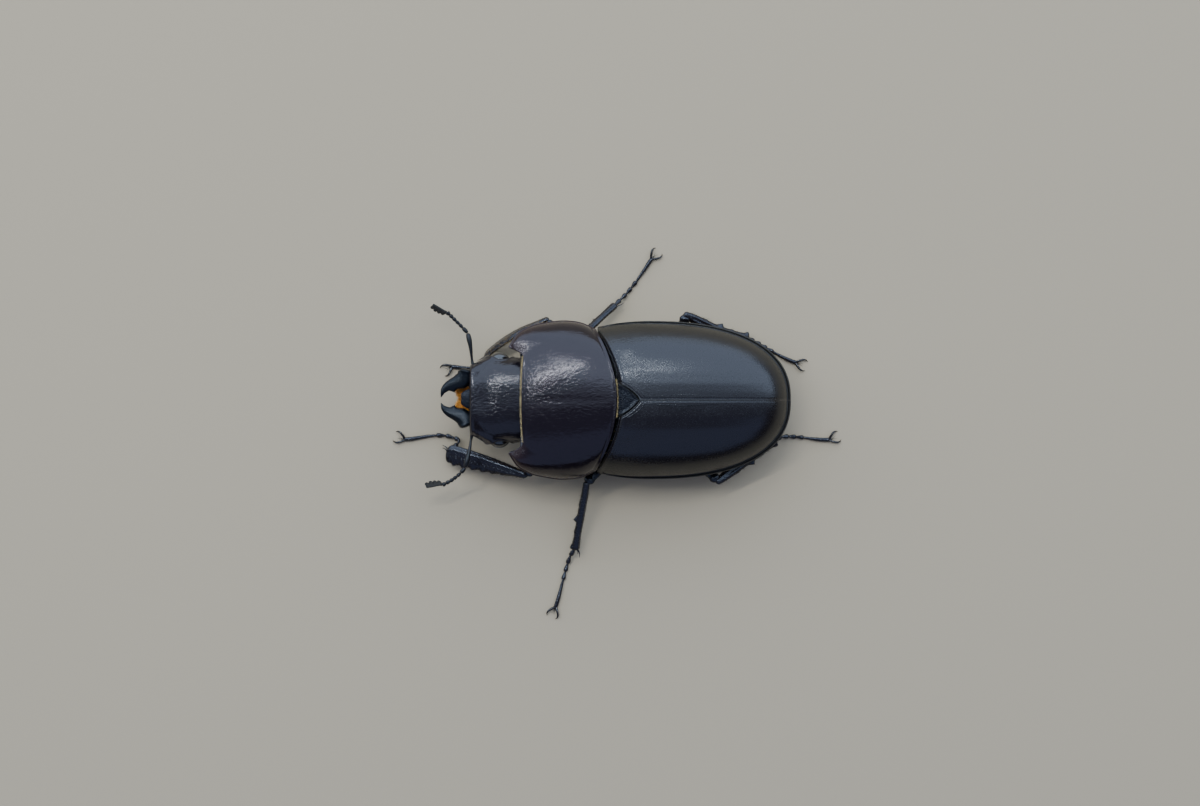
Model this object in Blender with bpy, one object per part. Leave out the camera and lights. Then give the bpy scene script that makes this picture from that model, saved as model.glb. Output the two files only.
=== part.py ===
"""A female stag beetle, life size, standing still on its six feet.

Sizes are in millimetres, and become metres where a mesh is made. X runs from the head (-) to the tail (+),
Y to the beetle's right and Z up from the floor. The body is laid out with its midline on Y = 0 and the rear
edge of the pronotum at X = 0, and the whole beetle is moved over the origin at the end.
"""

import math
from bisect import bisect_right

import bmesh
import bpy
from mathutils import Matrix, Vector

MM = 0.001
GAP = 0.12  # between neighbouring solids
SIDES = (("right", 1), ("left", -1))

# The pronotum and the rest of the front thorax.
PRONOTUM_LENGTH = 10.3  # along the midline
PRONOTUM_CORNER_X = -11.65  # the front corners reach past the head's sides
PRONOTUM_HALF_WIDTH = 8.55
PRONOTUM_EDGE_Z = 5.3
PRONOTUM_TOP_Z = 10.0
PROSTERNUM_Z = 2.0
PRONOTUM_REAR_BOW = 0.039  # how fast the rear edge curves forwards, away from the midline

# The wing cases and the body under them.
ELYTRA_LENGTH = 18.95
ELYTRA_HALF_WIDTH = 8.6
ELYTRA_WIDEST_X = 3.5
ELYTRA_EDGE_Z = 4.9
ELYTRA_RISE = 5.6
ELYTRON_THICKNESS = 0.6
WAIST = 0.32  # the open groove between the pronotum and the wing cases
BELLY_Z = 1.7
THORAX_END_X = 7.6  # where the hind thorax meets the abdomen
SCUTELLUM_LENGTH = 2.4
SCUTELLUM_HALF_WIDTH = 1.85

# The head.
HEAD_FRONT_X = -16.0
HEAD_HALF_WIDTH = 4.6
MOUTH_Y = 0.13  # the mouth lies a little to the beetle's right of its midline
EYE_CENTRE = Vector((-12.75, 4.25, 5.2))
EYE_RADII = Vector((1.15, 0.95, 0.95))

# Fineness of the faceted solids.
RING_POINTS = 24
LIMB_POINTS = 8
THIN_LIMB_POINTS = 6

COXA_RADII = {"front": (1.3, 1.5, 1.05), "middle": (1.2, 1.35, 1.0), "hind": (1.0, 1.4, 0.95)}
COXA_CENTRES = {"front": (-5.5, 2.4, 2.45), "middle": (1.4, 2.5, 2.1), "hind": (6.2, 2.1, 2.1)}

# The pose of each leg: the thigh's root, the knee, the end of the shin, how far the shin bows outwards, how far
# its toothed edge is turned down, the points along the foot to where the claws start, and the way they point.
LEGS = {
    "front_right": {
        "root": (-6.1, 4.1, 2.3),
        "knee": (-7.6, 8.75, 3.5),
        "ankle": (-14.5, 4.8, 1.3),
        "bow": 0.45,
        "blade_down": 0.8,
        "foot": [(-14.5, 4.1, 0.9), (-15.2, 3.7, 0.45), (-16.2, 3.55, 0.32), (-18.2, 3.7, 0.32)],
        "claws": (-0.55, -0.8),
    },
    "front_left": {
        "root": (-6.4, -4.1, 2.3),
        "knee": (-9.95, -8.2, 3.5),
        "ankle": (-18.75, -5.7, 1.2),
        "blade_down": 0.2,
        "foot": [(-17.1, -4.65, 0.95), (-18.0, -4.1, 0.5), (-19.3, -3.85, 0.32), (-23.4, -4.35, 0.32)],
        "claws": (-0.85, 0.5),
    },
    "middle_right": {
        "root": (0.2, 3.75, 2.0),
        "knee": (-4.6, 6.3, 3.3),
        "ankle": (-0.1, 10.55, 1.1),
        "blade_down": 0.6,
        "foot": [(0.1, 10.78, 0.85), (1.1, 11.75, 0.35), (2.3, 13.3, 0.32), (3.9, 15.6, 0.32)],
        "claws": (0.7, 0.7),
    },
    "middle_left": {
        "root": (0.6, -4.0, 2.0),
        "knee": (-3.3, -9.1, 3.5),
        "ankle": (-4.6, -16.5, 1.1),
        "blade_down": 0.0,
        "foot": [(-4.95, -16.85, 0.9), (-5.4, -17.9, 0.35), (-6.0, -20.2, 0.32), (-6.75, -22.9, 0.32)],
        "claws": (-0.4, -0.9),
    },
    "hind_right": {
        "root": (6.5, 3.7, 2.0),
        "knee": (7.5, 9.3, 3.4),
        "ankle": (14.5, 6.75, 1.1),
        "bow": 0.3,
        "blade_down": 0.0,
        "foot": [(14.8, 6.6, 0.9), (15.9, 6.15, 0.35), (17.3, 5.25, 0.32), (19.8, 4.1, 0.32)],
        "claws": (0.95, -0.1),
    },
    "hind_left": {
        "root": (6.8, -3.7, 2.0),
        "knee": (11.0, -8.9, 3.3),
        "ankle": (17.5, -4.35, 1.1),
        "blade_down": 0.0,
        "foot": [(17.8, -4.2, 0.9), (18.9, -3.95, 0.35), (20.5, -4.15, 0.32), (23.5, -4.4, 0.32)],
        "claws": (0.75, 0.65),
    },
}

# Feelers: the foot of the shaft on the head, the elbow, and the points on to the tip of the club.
FEELERS = {
    "right": [
        (-15.75, 4.2, 4.6),
        (-16.25, 7.35, 4.6),
        (-17.65, 8.75, 4.4),
        (-18.5, 9.55, 4.2),
        (-20.1, 10.4, 3.9),
    ],
    "left": [
        (-15.85, -4.1, 4.6),
        (-16.5, -7.4, 4.9),
        (-17.75, -8.6, 4.7),
        (-18.95, -9.2, 4.5),
        (-20.8, -9.45, 4.2),
    ],
}


def read_curve(stations, place):
    """The value at a place, on a smooth curve through (place, value) stations in rising order."""
    places = [station[0] for station in stations]
    values = [station[1] for station in stations]
    last = len(stations) - 1
    i = min(max(bisect_right(places, place) - 1, 0), last - 1)

    def slope(k):
        low, high = max(k - 1, 0), min(k + 1, last)
        return (values[high] - values[low]) / (places[high] - places[low])

    span = places[i + 1] - places[i]
    t = min(max((place - places[i]) / span, 0.0), 1.0)
    ahead = t * t * (3 - 2 * t)
    leaving = t * (1 - t) ** 2 * span
    arriving = -t * t * (1 - t) * span
    return values[i] * (1 - ahead) + values[i + 1] * ahead + slope(i) * leaving + slope(i + 1) * arriving


def path_through(points, count):
    """Points spread evenly along a smooth line through a few given ones."""
    stations = [(0.0, Vector(points[0]))]
    for point in points[1:]:
        step = (Vector(point) - stations[-1][1]).length
        stations.append((stations[-1][0] + step, Vector(point)))
    length = stations[-1][0]
    return [read_curve(stations, length * i / (count - 1)) for i in range(count)]


def finish(name, colour, roughness):
    """The plain finish of one kind of shell."""
    material = bpy.data.materials.get(name) or bpy.data.materials.new(name)
    material.use_nodes = True
    shader = material.node_tree.nodes["Principled BSDF"]
    shader.inputs["Base Color"].default_value = (*colour, 1)
    shader.inputs["Roughness"].default_value = roughness
    shader.inputs["Metallic"].default_value = 0.0
    return material


def place_object(name, bm, material, closed=True):
    """Turns a bmesh in millimetres into a named object in metres, with its round faces smooth.

    A closed mesh is turned to face out, and an open one keeps the way that its faces were made.
    """
    bmesh.ops.remove_doubles(bm, verts=bm.verts, dist=0.001)
    if closed:
        bmesh.ops.recalc_face_normals(bm, faces=bm.faces)
    bmesh.ops.scale(bm, vec=Vector((MM, MM, MM)), verts=bm.verts)
    mesh = bpy.data.meshes.new(name)
    bm.to_mesh(mesh)
    bm.free()
    mesh.materials.append(material)
    mesh.shade_smooth()
    mesh.set_sharp_from_angle(angle=math.radians(50))
    made = bpy.data.objects.new(name, mesh)
    bpy.context.scene.collection.objects.link(made)
    return made


def skin_rings(rings):
    """A closed bmesh over a row of rings of points, with a fan of faces over each end."""
    bm = bmesh.new()
    rows = [[bm.verts.new(point) for point in ring] for ring in rings]
    count = len(rows[0])
    for row, following in zip(rows, rows[1:]):
        for k in range(count):
            after = (k + 1) % count
            bm.faces.new((row[k], row[after], following[after], following[k]))
    for row in (rows[0], rows[-1]):
        middle = bm.verts.new(sum((vert.co for vert in row), Vector()) / count)
        for k in range(count):
            bm.faces.new((row[k], row[(k + 1) % count], middle))
    return bm


def ellipsoid(centre, radii, segments=10):
    bm = bmesh.new()
    bmesh.ops.create_uvsphere(bm, u_segments=segments, v_segments=segments // 2, radius=1)
    bmesh.ops.transform(bm, matrix=Matrix.LocRotScale(Vector(centre), None, Vector(radii)), verts=bm.verts)
    return bm


def limb(path, widths, depths, across, teeth=(), points=LIMB_POINTS):
    """A solid swept along a path. widths and depths are half sizes, (share of the length, size) stations.

    across gives the side that the width is measured to, and teeth are (share, height) spines on that side.
    """
    rings = []
    last = len(path) - 1
    for i, at in enumerate(path):
        along = (path[min(i + 1, last)] - path[max(i - 1, 0)]).normalized()
        side = (Vector(across) - along * along.dot(Vector(across))).normalized()
        up = side.cross(along)
        share = i / last
        width, depth = read_curve(widths, share), read_curve(depths, share)
        near = [height * max(0.0, 1 - abs(share - place) * last / 1.2) for place, height in teeth]
        spine = max(near, default=0.0)
        ring = []
        for k in range(points):
            angle = 2 * math.pi * k / points
            reach = width * math.cos(angle) + (spine if k == 0 else 0.0)
            ring.append(at + side * reach + up * depth * math.sin(angle))
        rings.append(ring)
    return skin_rings(rings)


def cut_level(bm, level=0.0):
    """Takes off what is under a level, which leaves a small flat to stand on."""
    everything = bm.verts[:] + bm.edges[:] + bm.faces[:]
    cut = bmesh.ops.bisect_plane(
        bm, geom=everything, dist=1e-5, plane_co=(0, 0, level), plane_no=(0, 0, 1), clear_inner=True
    )
    edges = [item for item in cut["geom_cut"] if isinstance(item, bmesh.types.BMEdge)]
    bmesh.ops.edgenet_fill(bm, edges=edges)
    return bm


def hollow_for(body, cutter_name, centre, radii, segments=10):
    """Cuts a rounded socket in a body, a gap larger than the piece that it holds."""
    shape = ellipsoid(centre, [radius + GAP for radius in radii], segments)
    cutter = place_object(cutter_name, shape, body.data.materials[0])
    cutter.hide_render = True
    cutter.display_type = "WIRE"
    boolean = body.modifiers.new(cutter_name, "BOOLEAN")
    boolean.operation = "DIFFERENCE"
    boolean.solver = "EXACT"
    boolean.object = cutter


def arch(share, fullness):
    """Height of a rounded section at a share of its half width, from 1 on the midline to 0 at the edge."""
    return max(0.0, 1 - min(abs(share), 1.0) ** fullness) ** (1 / 2.2)


def pronotum_rear_x(y):
    """The rear edge bows back at the midline."""
    return -PRONOTUM_REAR_BOW * y * y


def elytra_taper(x, inset=0.0):
    """Width and height of the wing cases at x, as a share of the largest. An inset shortens the dome."""
    if x < ELYTRA_WIDEST_X:
        return 1 - 0.06 * ((ELYTRA_WIDEST_X - x) / 5.0) ** 2
    t = min((x - ELYTRA_WIDEST_X) / (ELYTRA_LENGTH - inset - ELYTRA_WIDEST_X), 1.0)
    return (1 - t**2.4) ** (1 / 2.2)


def elytra_z(x, share):
    """Height of the wing cases at x and at a share of their half width there."""
    return ELYTRA_EDGE_Z + ELYTRA_RISE * elytra_taper(x) * arch(share, 2.4)


def body_ring(half_width, edge_z, top_z, bottom_z, x_at, fullness=2.3, points=RING_POINTS):
    """A section of the trunk: a rounded back over an edge at each side, and a flatter belly.

    x_at gives the x of each point from its y.
    """
    ring = []
    for k in range(points):
        angle = 2 * math.pi * k / points
        share = math.cos(angle)
        y = half_width * share
        if math.sin(angle) >= 0:
            z = edge_z + (top_z - edge_z) * arch(share, fullness)
        else:
            z = edge_z - (edge_z - bottom_z) * (1 - abs(share) ** 1.6) ** 0.9
        ring.append(Vector((x_at(y), y, z)))
    return ring


def pronotum_front_x(y, half_width):
    """The front edge is nearly straight over the head, and swings forwards to a corner at each side."""
    straight = 0.82
    share = abs(y) / half_width
    bow = -PRONOTUM_LENGTH + 0.2 * (share / straight) ** 2
    ease = max(share - straight, 0.0) / (1 - straight)
    return bow + (PRONOTUM_CORNER_X - bow) * ease * ease * (3 - 2 * ease)


def build_prothorax(shell):
    """The pronotum, its turned-under sides and the breastplate, with sockets for the front coxae."""
    widths = [(0, 5.75), (0.08, 6.95), (0.22, 7.8), (0.45, 8.35)]
    widths += [(0.7, PRONOTUM_HALF_WIDTH), (0.9, 8.2), (1, 7.6)]
    tops = [(0, 8.4), (0.25, 9.4), (0.6, PRONOTUM_TOP_Z), (1, 9.8)]
    bottoms = [(0, 3.1), (0.3, PROSTERNUM_Z), (0.7, PROSTERNUM_Z), (1, 2.7)]
    lifts = [(0, 1.5), (0.25, 0.8), (0.5, 0), (1, 0)]  # of the side edge, which rises to the front corners
    head_socket_x = 0.7 - PRONOTUM_LENGTH
    rings = [body_ring(HEAD_HALF_WIDTH + 0.1, PRONOTUM_EDGE_Z, 8.2, 3.4, lambda y: head_socket_x)]
    for u in (0, 0.08, 0.2, 0.35, 0.5, 0.65, 0.8, 0.92, 1):
        half_width = read_curve(widths, u)

        def x_at(y, u=u, half_width=half_width):
            return pronotum_front_x(y, half_width) * (1 - u) + pronotum_rear_x(y) * u

        top_z, bottom_z = read_curve(tops, u), read_curve(bottoms, u)
        rings.append(body_ring(half_width, PRONOTUM_EDGE_Z + read_curve(lifts, u), top_z, bottom_z, x_at))
    body = place_object("prothorax", skin_rings(rings), shell)
    x, y, z = COXA_CENTRES["front"]
    for side, sign in SIDES:
        hollow_for(body, f"socket_front_{side}", (x, sign * y, z), COXA_RADII["front"])


def build_head(shell):
    """The head capsule, straight in front over the mouth and widest at the ridges that shield the eyes."""
    stations = [  # x, half width, edge, top, bottom
        (HEAD_FRONT_X + 0.1, 2.6, 5.1, 5.8, 4.5),
        (HEAD_FRONT_X, 3.6, 5.2, 6.3, 4.15),
        (-15.7, 3.95, 5.2, 6.7, 3.7),
        (-14.9, 4.35, 5.15, 7.15, 3.2),
        (-14.0, 4.85, 5.1, 7.45, 2.95),
        (-13.4, 4.82, 5.1, 7.65, 2.9),
        (-12.2, 4.65, 5.1, 7.95, 2.8),
        (-10.75, HEAD_HALF_WIDTH, 5.1, 8.05, 3.0),
    ]
    rings = [
        body_ring(half_width, edge, top, bottom, lambda y, x=x: x, fullness=3.2)
        for x, half_width, edge, top, bottom in stations
    ]
    head = place_object("head", skin_rings(rings), shell)
    for side, sign in SIDES:
        hollow_for(head, f"socket_eye_{side}", EYE_CENTRE * Vector((1, sign, 1)), EYE_RADII, 12)


def build_eyes(gloss):
    for side, sign in SIDES:
        place_object(f"eye_{side}", ellipsoid(EYE_CENTRE * Vector((1, sign, 1)), EYE_RADII, 12), gloss)


def build_jaws(shell):
    """The two short, curved mandibles, each with a tooth on its inner edge."""
    stations = [(-16.15, 5.1), (-17.1, 5.05), (-17.9, 5.0), (-18.55, 4.95), (-19.1, 5.1)]  # x, z
    reaches = {"right": (2.35, 2.25, 1.95, 1.3, 0.4), "left": (2.1, 1.88, 1.55, 1.05, 0.4)}  # from the midline
    widths = [(0, 0.98), (0.3, 0.85), (0.6, 0.65), (0.85, 0.34), (1, 0.12)]
    depths = [(0, 0.85), (0.4, 0.6), (0.8, 0.35), (1, 0.12)]
    for side, sign in SIDES:
        path = path_through([(x, sign * y, z) for (x, z), y in zip(stations, reaches[side])], 11)
        jaw = limb(path, widths, depths, (-0.4, -sign, 0), teeth=[(0.5, 0.4)])
        place_object(f"mandible_{side}", jaw, shell)


def build_mouth(shell, brush):
    """The upper lip, the orange brush of the lower mouth, and a palp on each side of it."""
    lip = skin_rings(
        body_ring(half_width, 5.9, 6.1, 5.6, lambda y, x=x: x, fullness=4, points=12)
        for x, half_width in ((-16.15, 1.0), (-16.5, 0.85), (-16.95, 0.55))
    )
    lobes = skin_rings(
        body_ring(half_width, 3.85, 4.25, 3.45, lambda y, x=x: x, fullness=3, points=16)
        for x, half_width in ((-16.15, 1.15), (-16.7, 1.35), (-17.25, 1.3), (-17.6, 0.9))
    )
    for bm in (lip, lobes):
        bmesh.ops.translate(bm, vec=(0, MOUTH_Y, 0), verts=bm.verts)
    place_object("labrum", lip, shell)
    place_object("mouth_brush", lobes, brush)
    thickness = [(0, 0.26), (1, 0.25)]
    for side, sign in SIDES:
        points = [(-16.1, sign * 1.9, 3.7), (-16.7, sign * 2.3, 3.4), (-17.4, sign * 2.55, 3.0)]
        path = path_through(points, 7)
        palp = limb(path, thickness, thickness, (0, 1, 0), points=THIN_LIMB_POINTS)
        place_object(f"palp_{side}", palp, shell)


def build_feelers(shell, club_shell):
    """Elbowed feelers: a long shaft, a short jointed lash, and a club with plates along its inner side."""
    rise = Vector((0.1, 0, 0.15))
    for side, points in FEELERS.items():
        foot, elbow, bend, collar, tip = (Vector(point) for point in points)
        shaft = path_through([foot, (foot + elbow) / 2 + rise, elbow - (elbow - foot).normalized() * GAP], 7)
        widths = [(0, 0.25), (0.7, 0.25), (1, 0.3)]
        shaft_bm = limb(shaft, widths, widths, (1, 0, 0), points=THIN_LIMB_POINTS)
        place_object(f"antenna_shaft_{side}", shaft_bm, shell)
        lash = path_through([elbow + (bend - elbow).normalized() * 0.2, bend, collar], 9)
        widths = [(0, 0.25), (1, 0.27)]
        lash_bm = limb(lash, widths, widths, (1, 0, 0), points=THIN_LIMB_POINTS)
        place_object(f"antenna_lash_{side}", lash_bm, shell)
        start = collar + (tip - collar).normalized() * (GAP + 0.05)
        club = path_through([start, (start + tip) / 2, tip], 13)
        inward = Vector((-0.25, -0.5 if side == "right" else 0.5, -0.8))
        widths = [(0, 0.27), (0.5, 0.36), (0.85, 0.36), (1, 0.2)]
        plates = [(place, 0.5) for place in (0.17, 0.42, 0.67, 0.92)]
        club_bm = limb(club, widths, widths, inward, teeth=plates, points=THIN_LIMB_POINTS)
        place_object(f"antenna_club_{side}", club_bm, club_shell)


def scutellum_half_width(x):
    """The small shield between the wing cases narrows to a rounded point behind."""
    t = min(max(x / SCUTELLUM_LENGTH, 0.0), 1.0)
    return SCUTELLUM_HALF_WIDTH * (1 - t**1.35) ** 0.8


def elytra_rows():
    """How far back each row of a wing case lies: (function of the share across, giving x)."""

    def front_row(share):
        def x_at(across):
            start = pronotum_rear_x(ELYTRA_HALF_WIDTH * 0.95 * across) + WAIST
            return start + (ELYTRA_WIDEST_X - start) * share

        return x_at

    def rear_row(angle):
        x = ELYTRA_WIDEST_X + (ELYTRA_LENGTH - ELYTRA_WIDEST_X) * math.sin(math.radians(angle))
        return lambda across: x

    rows = [front_row(share) for share in (0, 0.05, 0.15, 0.3, 0.5, 0.75)]
    return rows + [rear_row(angle) for angle in (0, 10, 20, 30, 40, 50, 60, 69, 77, 82, 86)]


def build_elytra(shell):
    """The two wing cases: a dome split along the midline, with a notch in front for the scutellum."""
    columns = 9
    rounding = 0.25  # the front edge is drawn in a little at the shoulder
    for side, sign in SIDES:
        bm = bmesh.new()
        rows = []
        for x_at in elytra_rows():
            verts = []
            for column in range(columns):
                across = math.sin(math.pi / 2 * column / (columns - 1))
                x = x_at(across)
                half_width = ELYTRA_HALF_WIDTH * elytra_taper(x) - (0 if rows else rounding)
                inner = scutellum_half_width(x) + GAP if x < SCUTELLUM_LENGTH else GAP / 2
                y = inner + (half_width - inner) * across
                verts.append(bm.verts.new((x, sign * y, elytra_z(x, y / half_width))))
            rows.append(verts)
        for row, following in zip(rows, rows[1:]):
            for k in range(columns - 1):
                corners = (row[k], following[k], following[k + 1], row[k + 1])
                bm.faces.new(corners[::sign])
        elytron = place_object(f"elytron_{side}", bm, shell, closed=False)
        thickness = elytron.modifiers.new("thickness", "SOLIDIFY")
        thickness.thickness = ELYTRON_THICKNESS * MM
        thickness.offset = -1


def build_scutellum(shell):
    """A small raised shield, level with the wing cases that it lies between."""
    top_z = elytra_z(0.5, 0.1) - 0.05
    thickness = 0.8
    start = WAIST / 2
    rings = []
    for t in (0, 0.25, 0.5, 0.75, 0.9, 1):
        x = start + (SCUTELLUM_LENGTH - start) * t
        half_width = max(scutellum_half_width(x), 0.12)
        edge_z, bottom_z = top_z - 0.2, top_z - thickness
        rings.append(body_ring(half_width, edge_z, top_z, bottom_z, lambda y, x=x: x, fullness=3, points=12))
    place_object("scutellum", skin_rings(rings), shell)


def under_wings(x, bottom_z, x_at=None):
    """A section of the body under the wing cases, clear of their inner faces."""
    lift = ELYTRON_THICKNESS + GAP + 0.1
    taper = elytra_taper(x, inset=lift + 0.25)
    half_width = max((ELYTRA_HALF_WIDTH - lift) * taper, 0.3)
    top = ELYTRA_EDGE_Z + max((ELYTRA_RISE - lift) * taper, 0.2)
    return body_ring(half_width, ELYTRA_EDGE_Z - 0.1, top, bottom_z, x_at or (lambda y: x), fullness=2.4)


def build_trunk(shell):
    """The hind thorax, which carries four of the legs, and the abdomen behind it."""
    bottoms = [(-0.5, 2.6), (1.5, BELLY_Z), (6.5, BELLY_Z), (12, 1.85), (16, 2.8), (18.2, 4.3)]
    shoulder_z = 8.7
    front = under_wings(0.6, read_curve(bottoms, -0.5), lambda y: pronotum_rear_x(y) + 0.5)
    rings = [[Vector((point.x, point.y * 0.92, min(point.z, shoulder_z - 0.3))) for point in front]]
    for x in (1.9, 3.2, 4.8, 6.4, THORAX_END_X - GAP / 2):
        rings.append(under_wings(x, read_curve(bottoms, x)))
    rings[1] = [Vector((point.x, point.y, min(point.z, shoulder_z))) for point in rings[1]]
    thorax = place_object("hind_thorax", skin_rings(rings), shell)
    for pair in ("middle", "hind"):
        x, y, z = COXA_CENTRES[pair]
        for side, sign in SIDES:
            hollow_for(thorax, f"socket_{pair}_{side}", (x, sign * y, z), COXA_RADII[pair])
    start = THORAX_END_X + GAP / 2
    end = ELYTRA_LENGTH - ELYTRON_THICKNESS - 0.7
    rings = []
    for t in (0, 0.2, 0.4, 0.6, 0.75, 0.88, 0.96, 1):
        x = start + (end - start) * t
        rings.append(under_wings(x, read_curve(bottoms, x)))
    place_object("abdomen", skin_rings(rings), shell)


def build_claws(name, foot, pose, shell):
    """A pair of hooks that spread from the end of the foot, joined at their root."""
    ahead = Vector((*pose["claws"], 0)).normalized()
    beside = Vector((-ahead.y, ahead.x, 0))
    heel = foot[-1] + (foot[-1] - foot[-2]).normalized() * (0.26 + GAP)
    half = [(0, 0, -0.05), (0.35, 0.38, 0.05), (0.65, 0.55, -0.02), (0.95, 0.52, -0.16)]
    hook, other = (
        [heel + ahead * step[0] + beside * sign * step[1] + Vector((0, 0, step[2])) for step in half]
        for sign in (1, -1)
    )
    path = path_through(hook[:0:-1] + other, 11)
    thickness = [(0, 0.12), (0.25, 0.2), (0.5, 0.26), (0.75, 0.2), (1, 0.12)]
    claws = limb(path, thickness, thickness, (0, 0, 1), points=THIN_LIMB_POINTS)
    place_object(f"claws_{name}", cut_level(claws), shell)


def build_leg(name, pose, shell):
    """One leg: the coxa in its socket, the thigh, the spined shin, the jointed foot and its claws."""
    pair, side = name.split("_")
    sign = 1 if side == "right" else -1
    x, y, z = COXA_CENTRES[pair]
    place_object(f"coxa_{name}", ellipsoid((x, sign * y, z), COXA_RADII[pair]), shell)

    root, knee, ankle = (Vector(pose[joint]) for joint in ("root", "knee", "ankle"))
    thigh = (knee - root).normalized()
    shin = (ankle - knee).normalized()
    femur = path_through([root + thigh * GAP, (root + knee) / 2, knee - thigh * 0.1], 8)
    widths = [(0, 0.45), (0.35, 0.8), (0.75, 0.72), (1, 0.48)]
    depths = [(0, 0.4), (0.35, 0.52), (0.75, 0.5), (1, 0.37)]
    place_object(f"femur_{name}", limb(femur, widths, depths, (1, 0, 0)), shell)

    outward = thigh - shin * thigh.dot(shin)
    outward.z = 0
    outward = outward.normalized() * (1 - pose["blade_down"]) - Vector((0, 0, pose["blade_down"]))
    if pair == "front":
        widths = [(0, 0.35), (0.15, 0.5), (0.5, 0.85), (0.85, 1.0), (1, 0.9)]
        depths = [(0, 0.3), (0.2, 0.35), (1, 0.38)]
        teeth = [(0.375, 0.2), (0.5, 0.22), (0.625, 0.25), (0.75, 0.28), (0.875, 0.3), (1, 0.25)]
    elif pair == "hind":
        widths = [(0, 0.36), (0.15, 0.48), (0.5, 0.5), (0.8, 0.46), (1, 0.56)]
        depths = [(0, 0.3), (0.2, 0.34), (1, 0.36)]
        teeth = [(0.5625, 0.25), (1, 0.15)]
    else:
        widths = [(0, 0.32), (0.15, 0.38), (0.7, 0.42), (1, 0.5)]
        depths = [(0, 0.28), (0.2, 0.32), (1, 0.36)]
        teeth = [(0.5625, 0.3), (1, 0.2)]
    start = knee + shin * (GAP + 0.45 * (1 - thigh.dot(shin)))  # further off where the knee is bent
    bow = Vector((sign * shin.y, -sign * shin.x, 0)).normalized() * pose.get("bow", 0.0)
    tibia = path_through([start, (start + ankle) / 2 + bow, ankle], 17)
    place_object(f"tibia_{name}", limb(tibia, widths, depths, outward, teeth=teeth), shell)

    foot = path_through(pose["foot"], 22)
    short_joint = 0.14  # of the foot's length, four of them before the long last joint
    radii = []
    for joint in range(4):
        radii += [(joint * short_joint + 0.005, 0.25), (joint * short_joint + 0.1, 0.34)]
    radii += [(4 * short_joint + 0.01, 0.25), (0.85, 0.25), (1, 0.33)]
    tarsus = limb(foot, radii, radii, (0, 0, -1), points=THIN_LIMB_POINTS)
    place_object(f"tarsus_{name}", cut_level(tarsus), shell)
    build_claws(name, foot, pose, shell)


def stand_over_origin():
    """Moves the beetle so that the middle of its box is over the origin."""
    solids = [made for made in bpy.data.objects if not made.hide_render]
    points = [vert.co for made in solids for vert in made.data.vertices]
    low = [min(point[axis] for point in points) for axis in (0, 1)]
    high = [max(point[axis] for point in points) for axis in (0, 1)]
    for made in bpy.data.objects:
        made.location -= Vector(((low[0] + high[0]) / 2, (low[1] + high[1]) / 2, 0))


def main():
    for existing in list(bpy.data.objects):
        bpy.data.objects.remove(existing)
    head_shell = finish("head_shell", (0.035, 0.028, 0.034), 0.45)
    thorax_shell = finish("thorax_shell", (0.034, 0.022, 0.027), 0.35)
    wing_shell = finish("wing_shell", (0.024, 0.018, 0.018), 0.25)
    belly_shell = finish("belly_shell", (0.026, 0.016, 0.012), 0.4)
    leg_shell = finish("leg_shell", (0.022, 0.014, 0.013), 0.3)
    eye_gloss = finish("eye_gloss", (0.012, 0.012, 0.014), 0.1)
    feeler_shell = finish("feeler_shell", (0.03, 0.022, 0.02), 0.4)
    club_felt = finish("club_felt", (0.16, 0.15, 0.12), 0.8)
    mouth_gold = finish("mouth_gold", (0.75, 0.32, 0.03), 0.7)
    build_prothorax(thorax_shell)
    build_head(head_shell)
    build_eyes(eye_gloss)
    build_jaws(head_shell)
    build_mouth(head_shell, mouth_gold)
    build_feelers(feeler_shell, club_felt)
    build_elytra(wing_shell)
    build_scutellum(wing_shell)
    build_trunk(belly_shell)
    for name, pose in LEGS.items():
        build_leg(name, pose, leg_shell)
    stand_over_origin()


main()
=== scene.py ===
"""A female stag beetle, life size, as a still museum model on a plain pale floor.

Shapes are worked out in millimetres from the beetle's own waist: X runs from the head (-) to the tail (+),
Y to its right and Z up from the floor.
"""

import math

import bpy
import numpy as np
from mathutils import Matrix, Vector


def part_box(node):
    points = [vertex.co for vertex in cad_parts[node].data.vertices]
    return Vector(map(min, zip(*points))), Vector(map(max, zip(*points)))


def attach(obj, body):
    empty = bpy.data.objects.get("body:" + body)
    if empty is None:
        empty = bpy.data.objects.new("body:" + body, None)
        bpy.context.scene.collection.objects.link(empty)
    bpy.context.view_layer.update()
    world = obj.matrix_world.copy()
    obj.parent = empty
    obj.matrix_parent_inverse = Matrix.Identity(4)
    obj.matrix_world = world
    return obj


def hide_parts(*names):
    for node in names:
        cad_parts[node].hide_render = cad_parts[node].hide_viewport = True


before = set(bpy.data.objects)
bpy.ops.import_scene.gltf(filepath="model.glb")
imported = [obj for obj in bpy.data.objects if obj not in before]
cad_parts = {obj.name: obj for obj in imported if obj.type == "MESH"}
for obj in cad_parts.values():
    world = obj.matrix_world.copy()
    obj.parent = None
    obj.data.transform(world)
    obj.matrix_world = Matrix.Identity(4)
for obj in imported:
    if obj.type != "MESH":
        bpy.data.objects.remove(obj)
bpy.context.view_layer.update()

MM = 0.001


# ---- Pronotum ----------------------------------------------------------------------------------------------
# The broad shield over the front thorax, one plate of thick chitin. Its back is finely grained and satin, and
# a bead runs round its edge. The sides turn under to the breastplate, in which the front legs are set.

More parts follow.
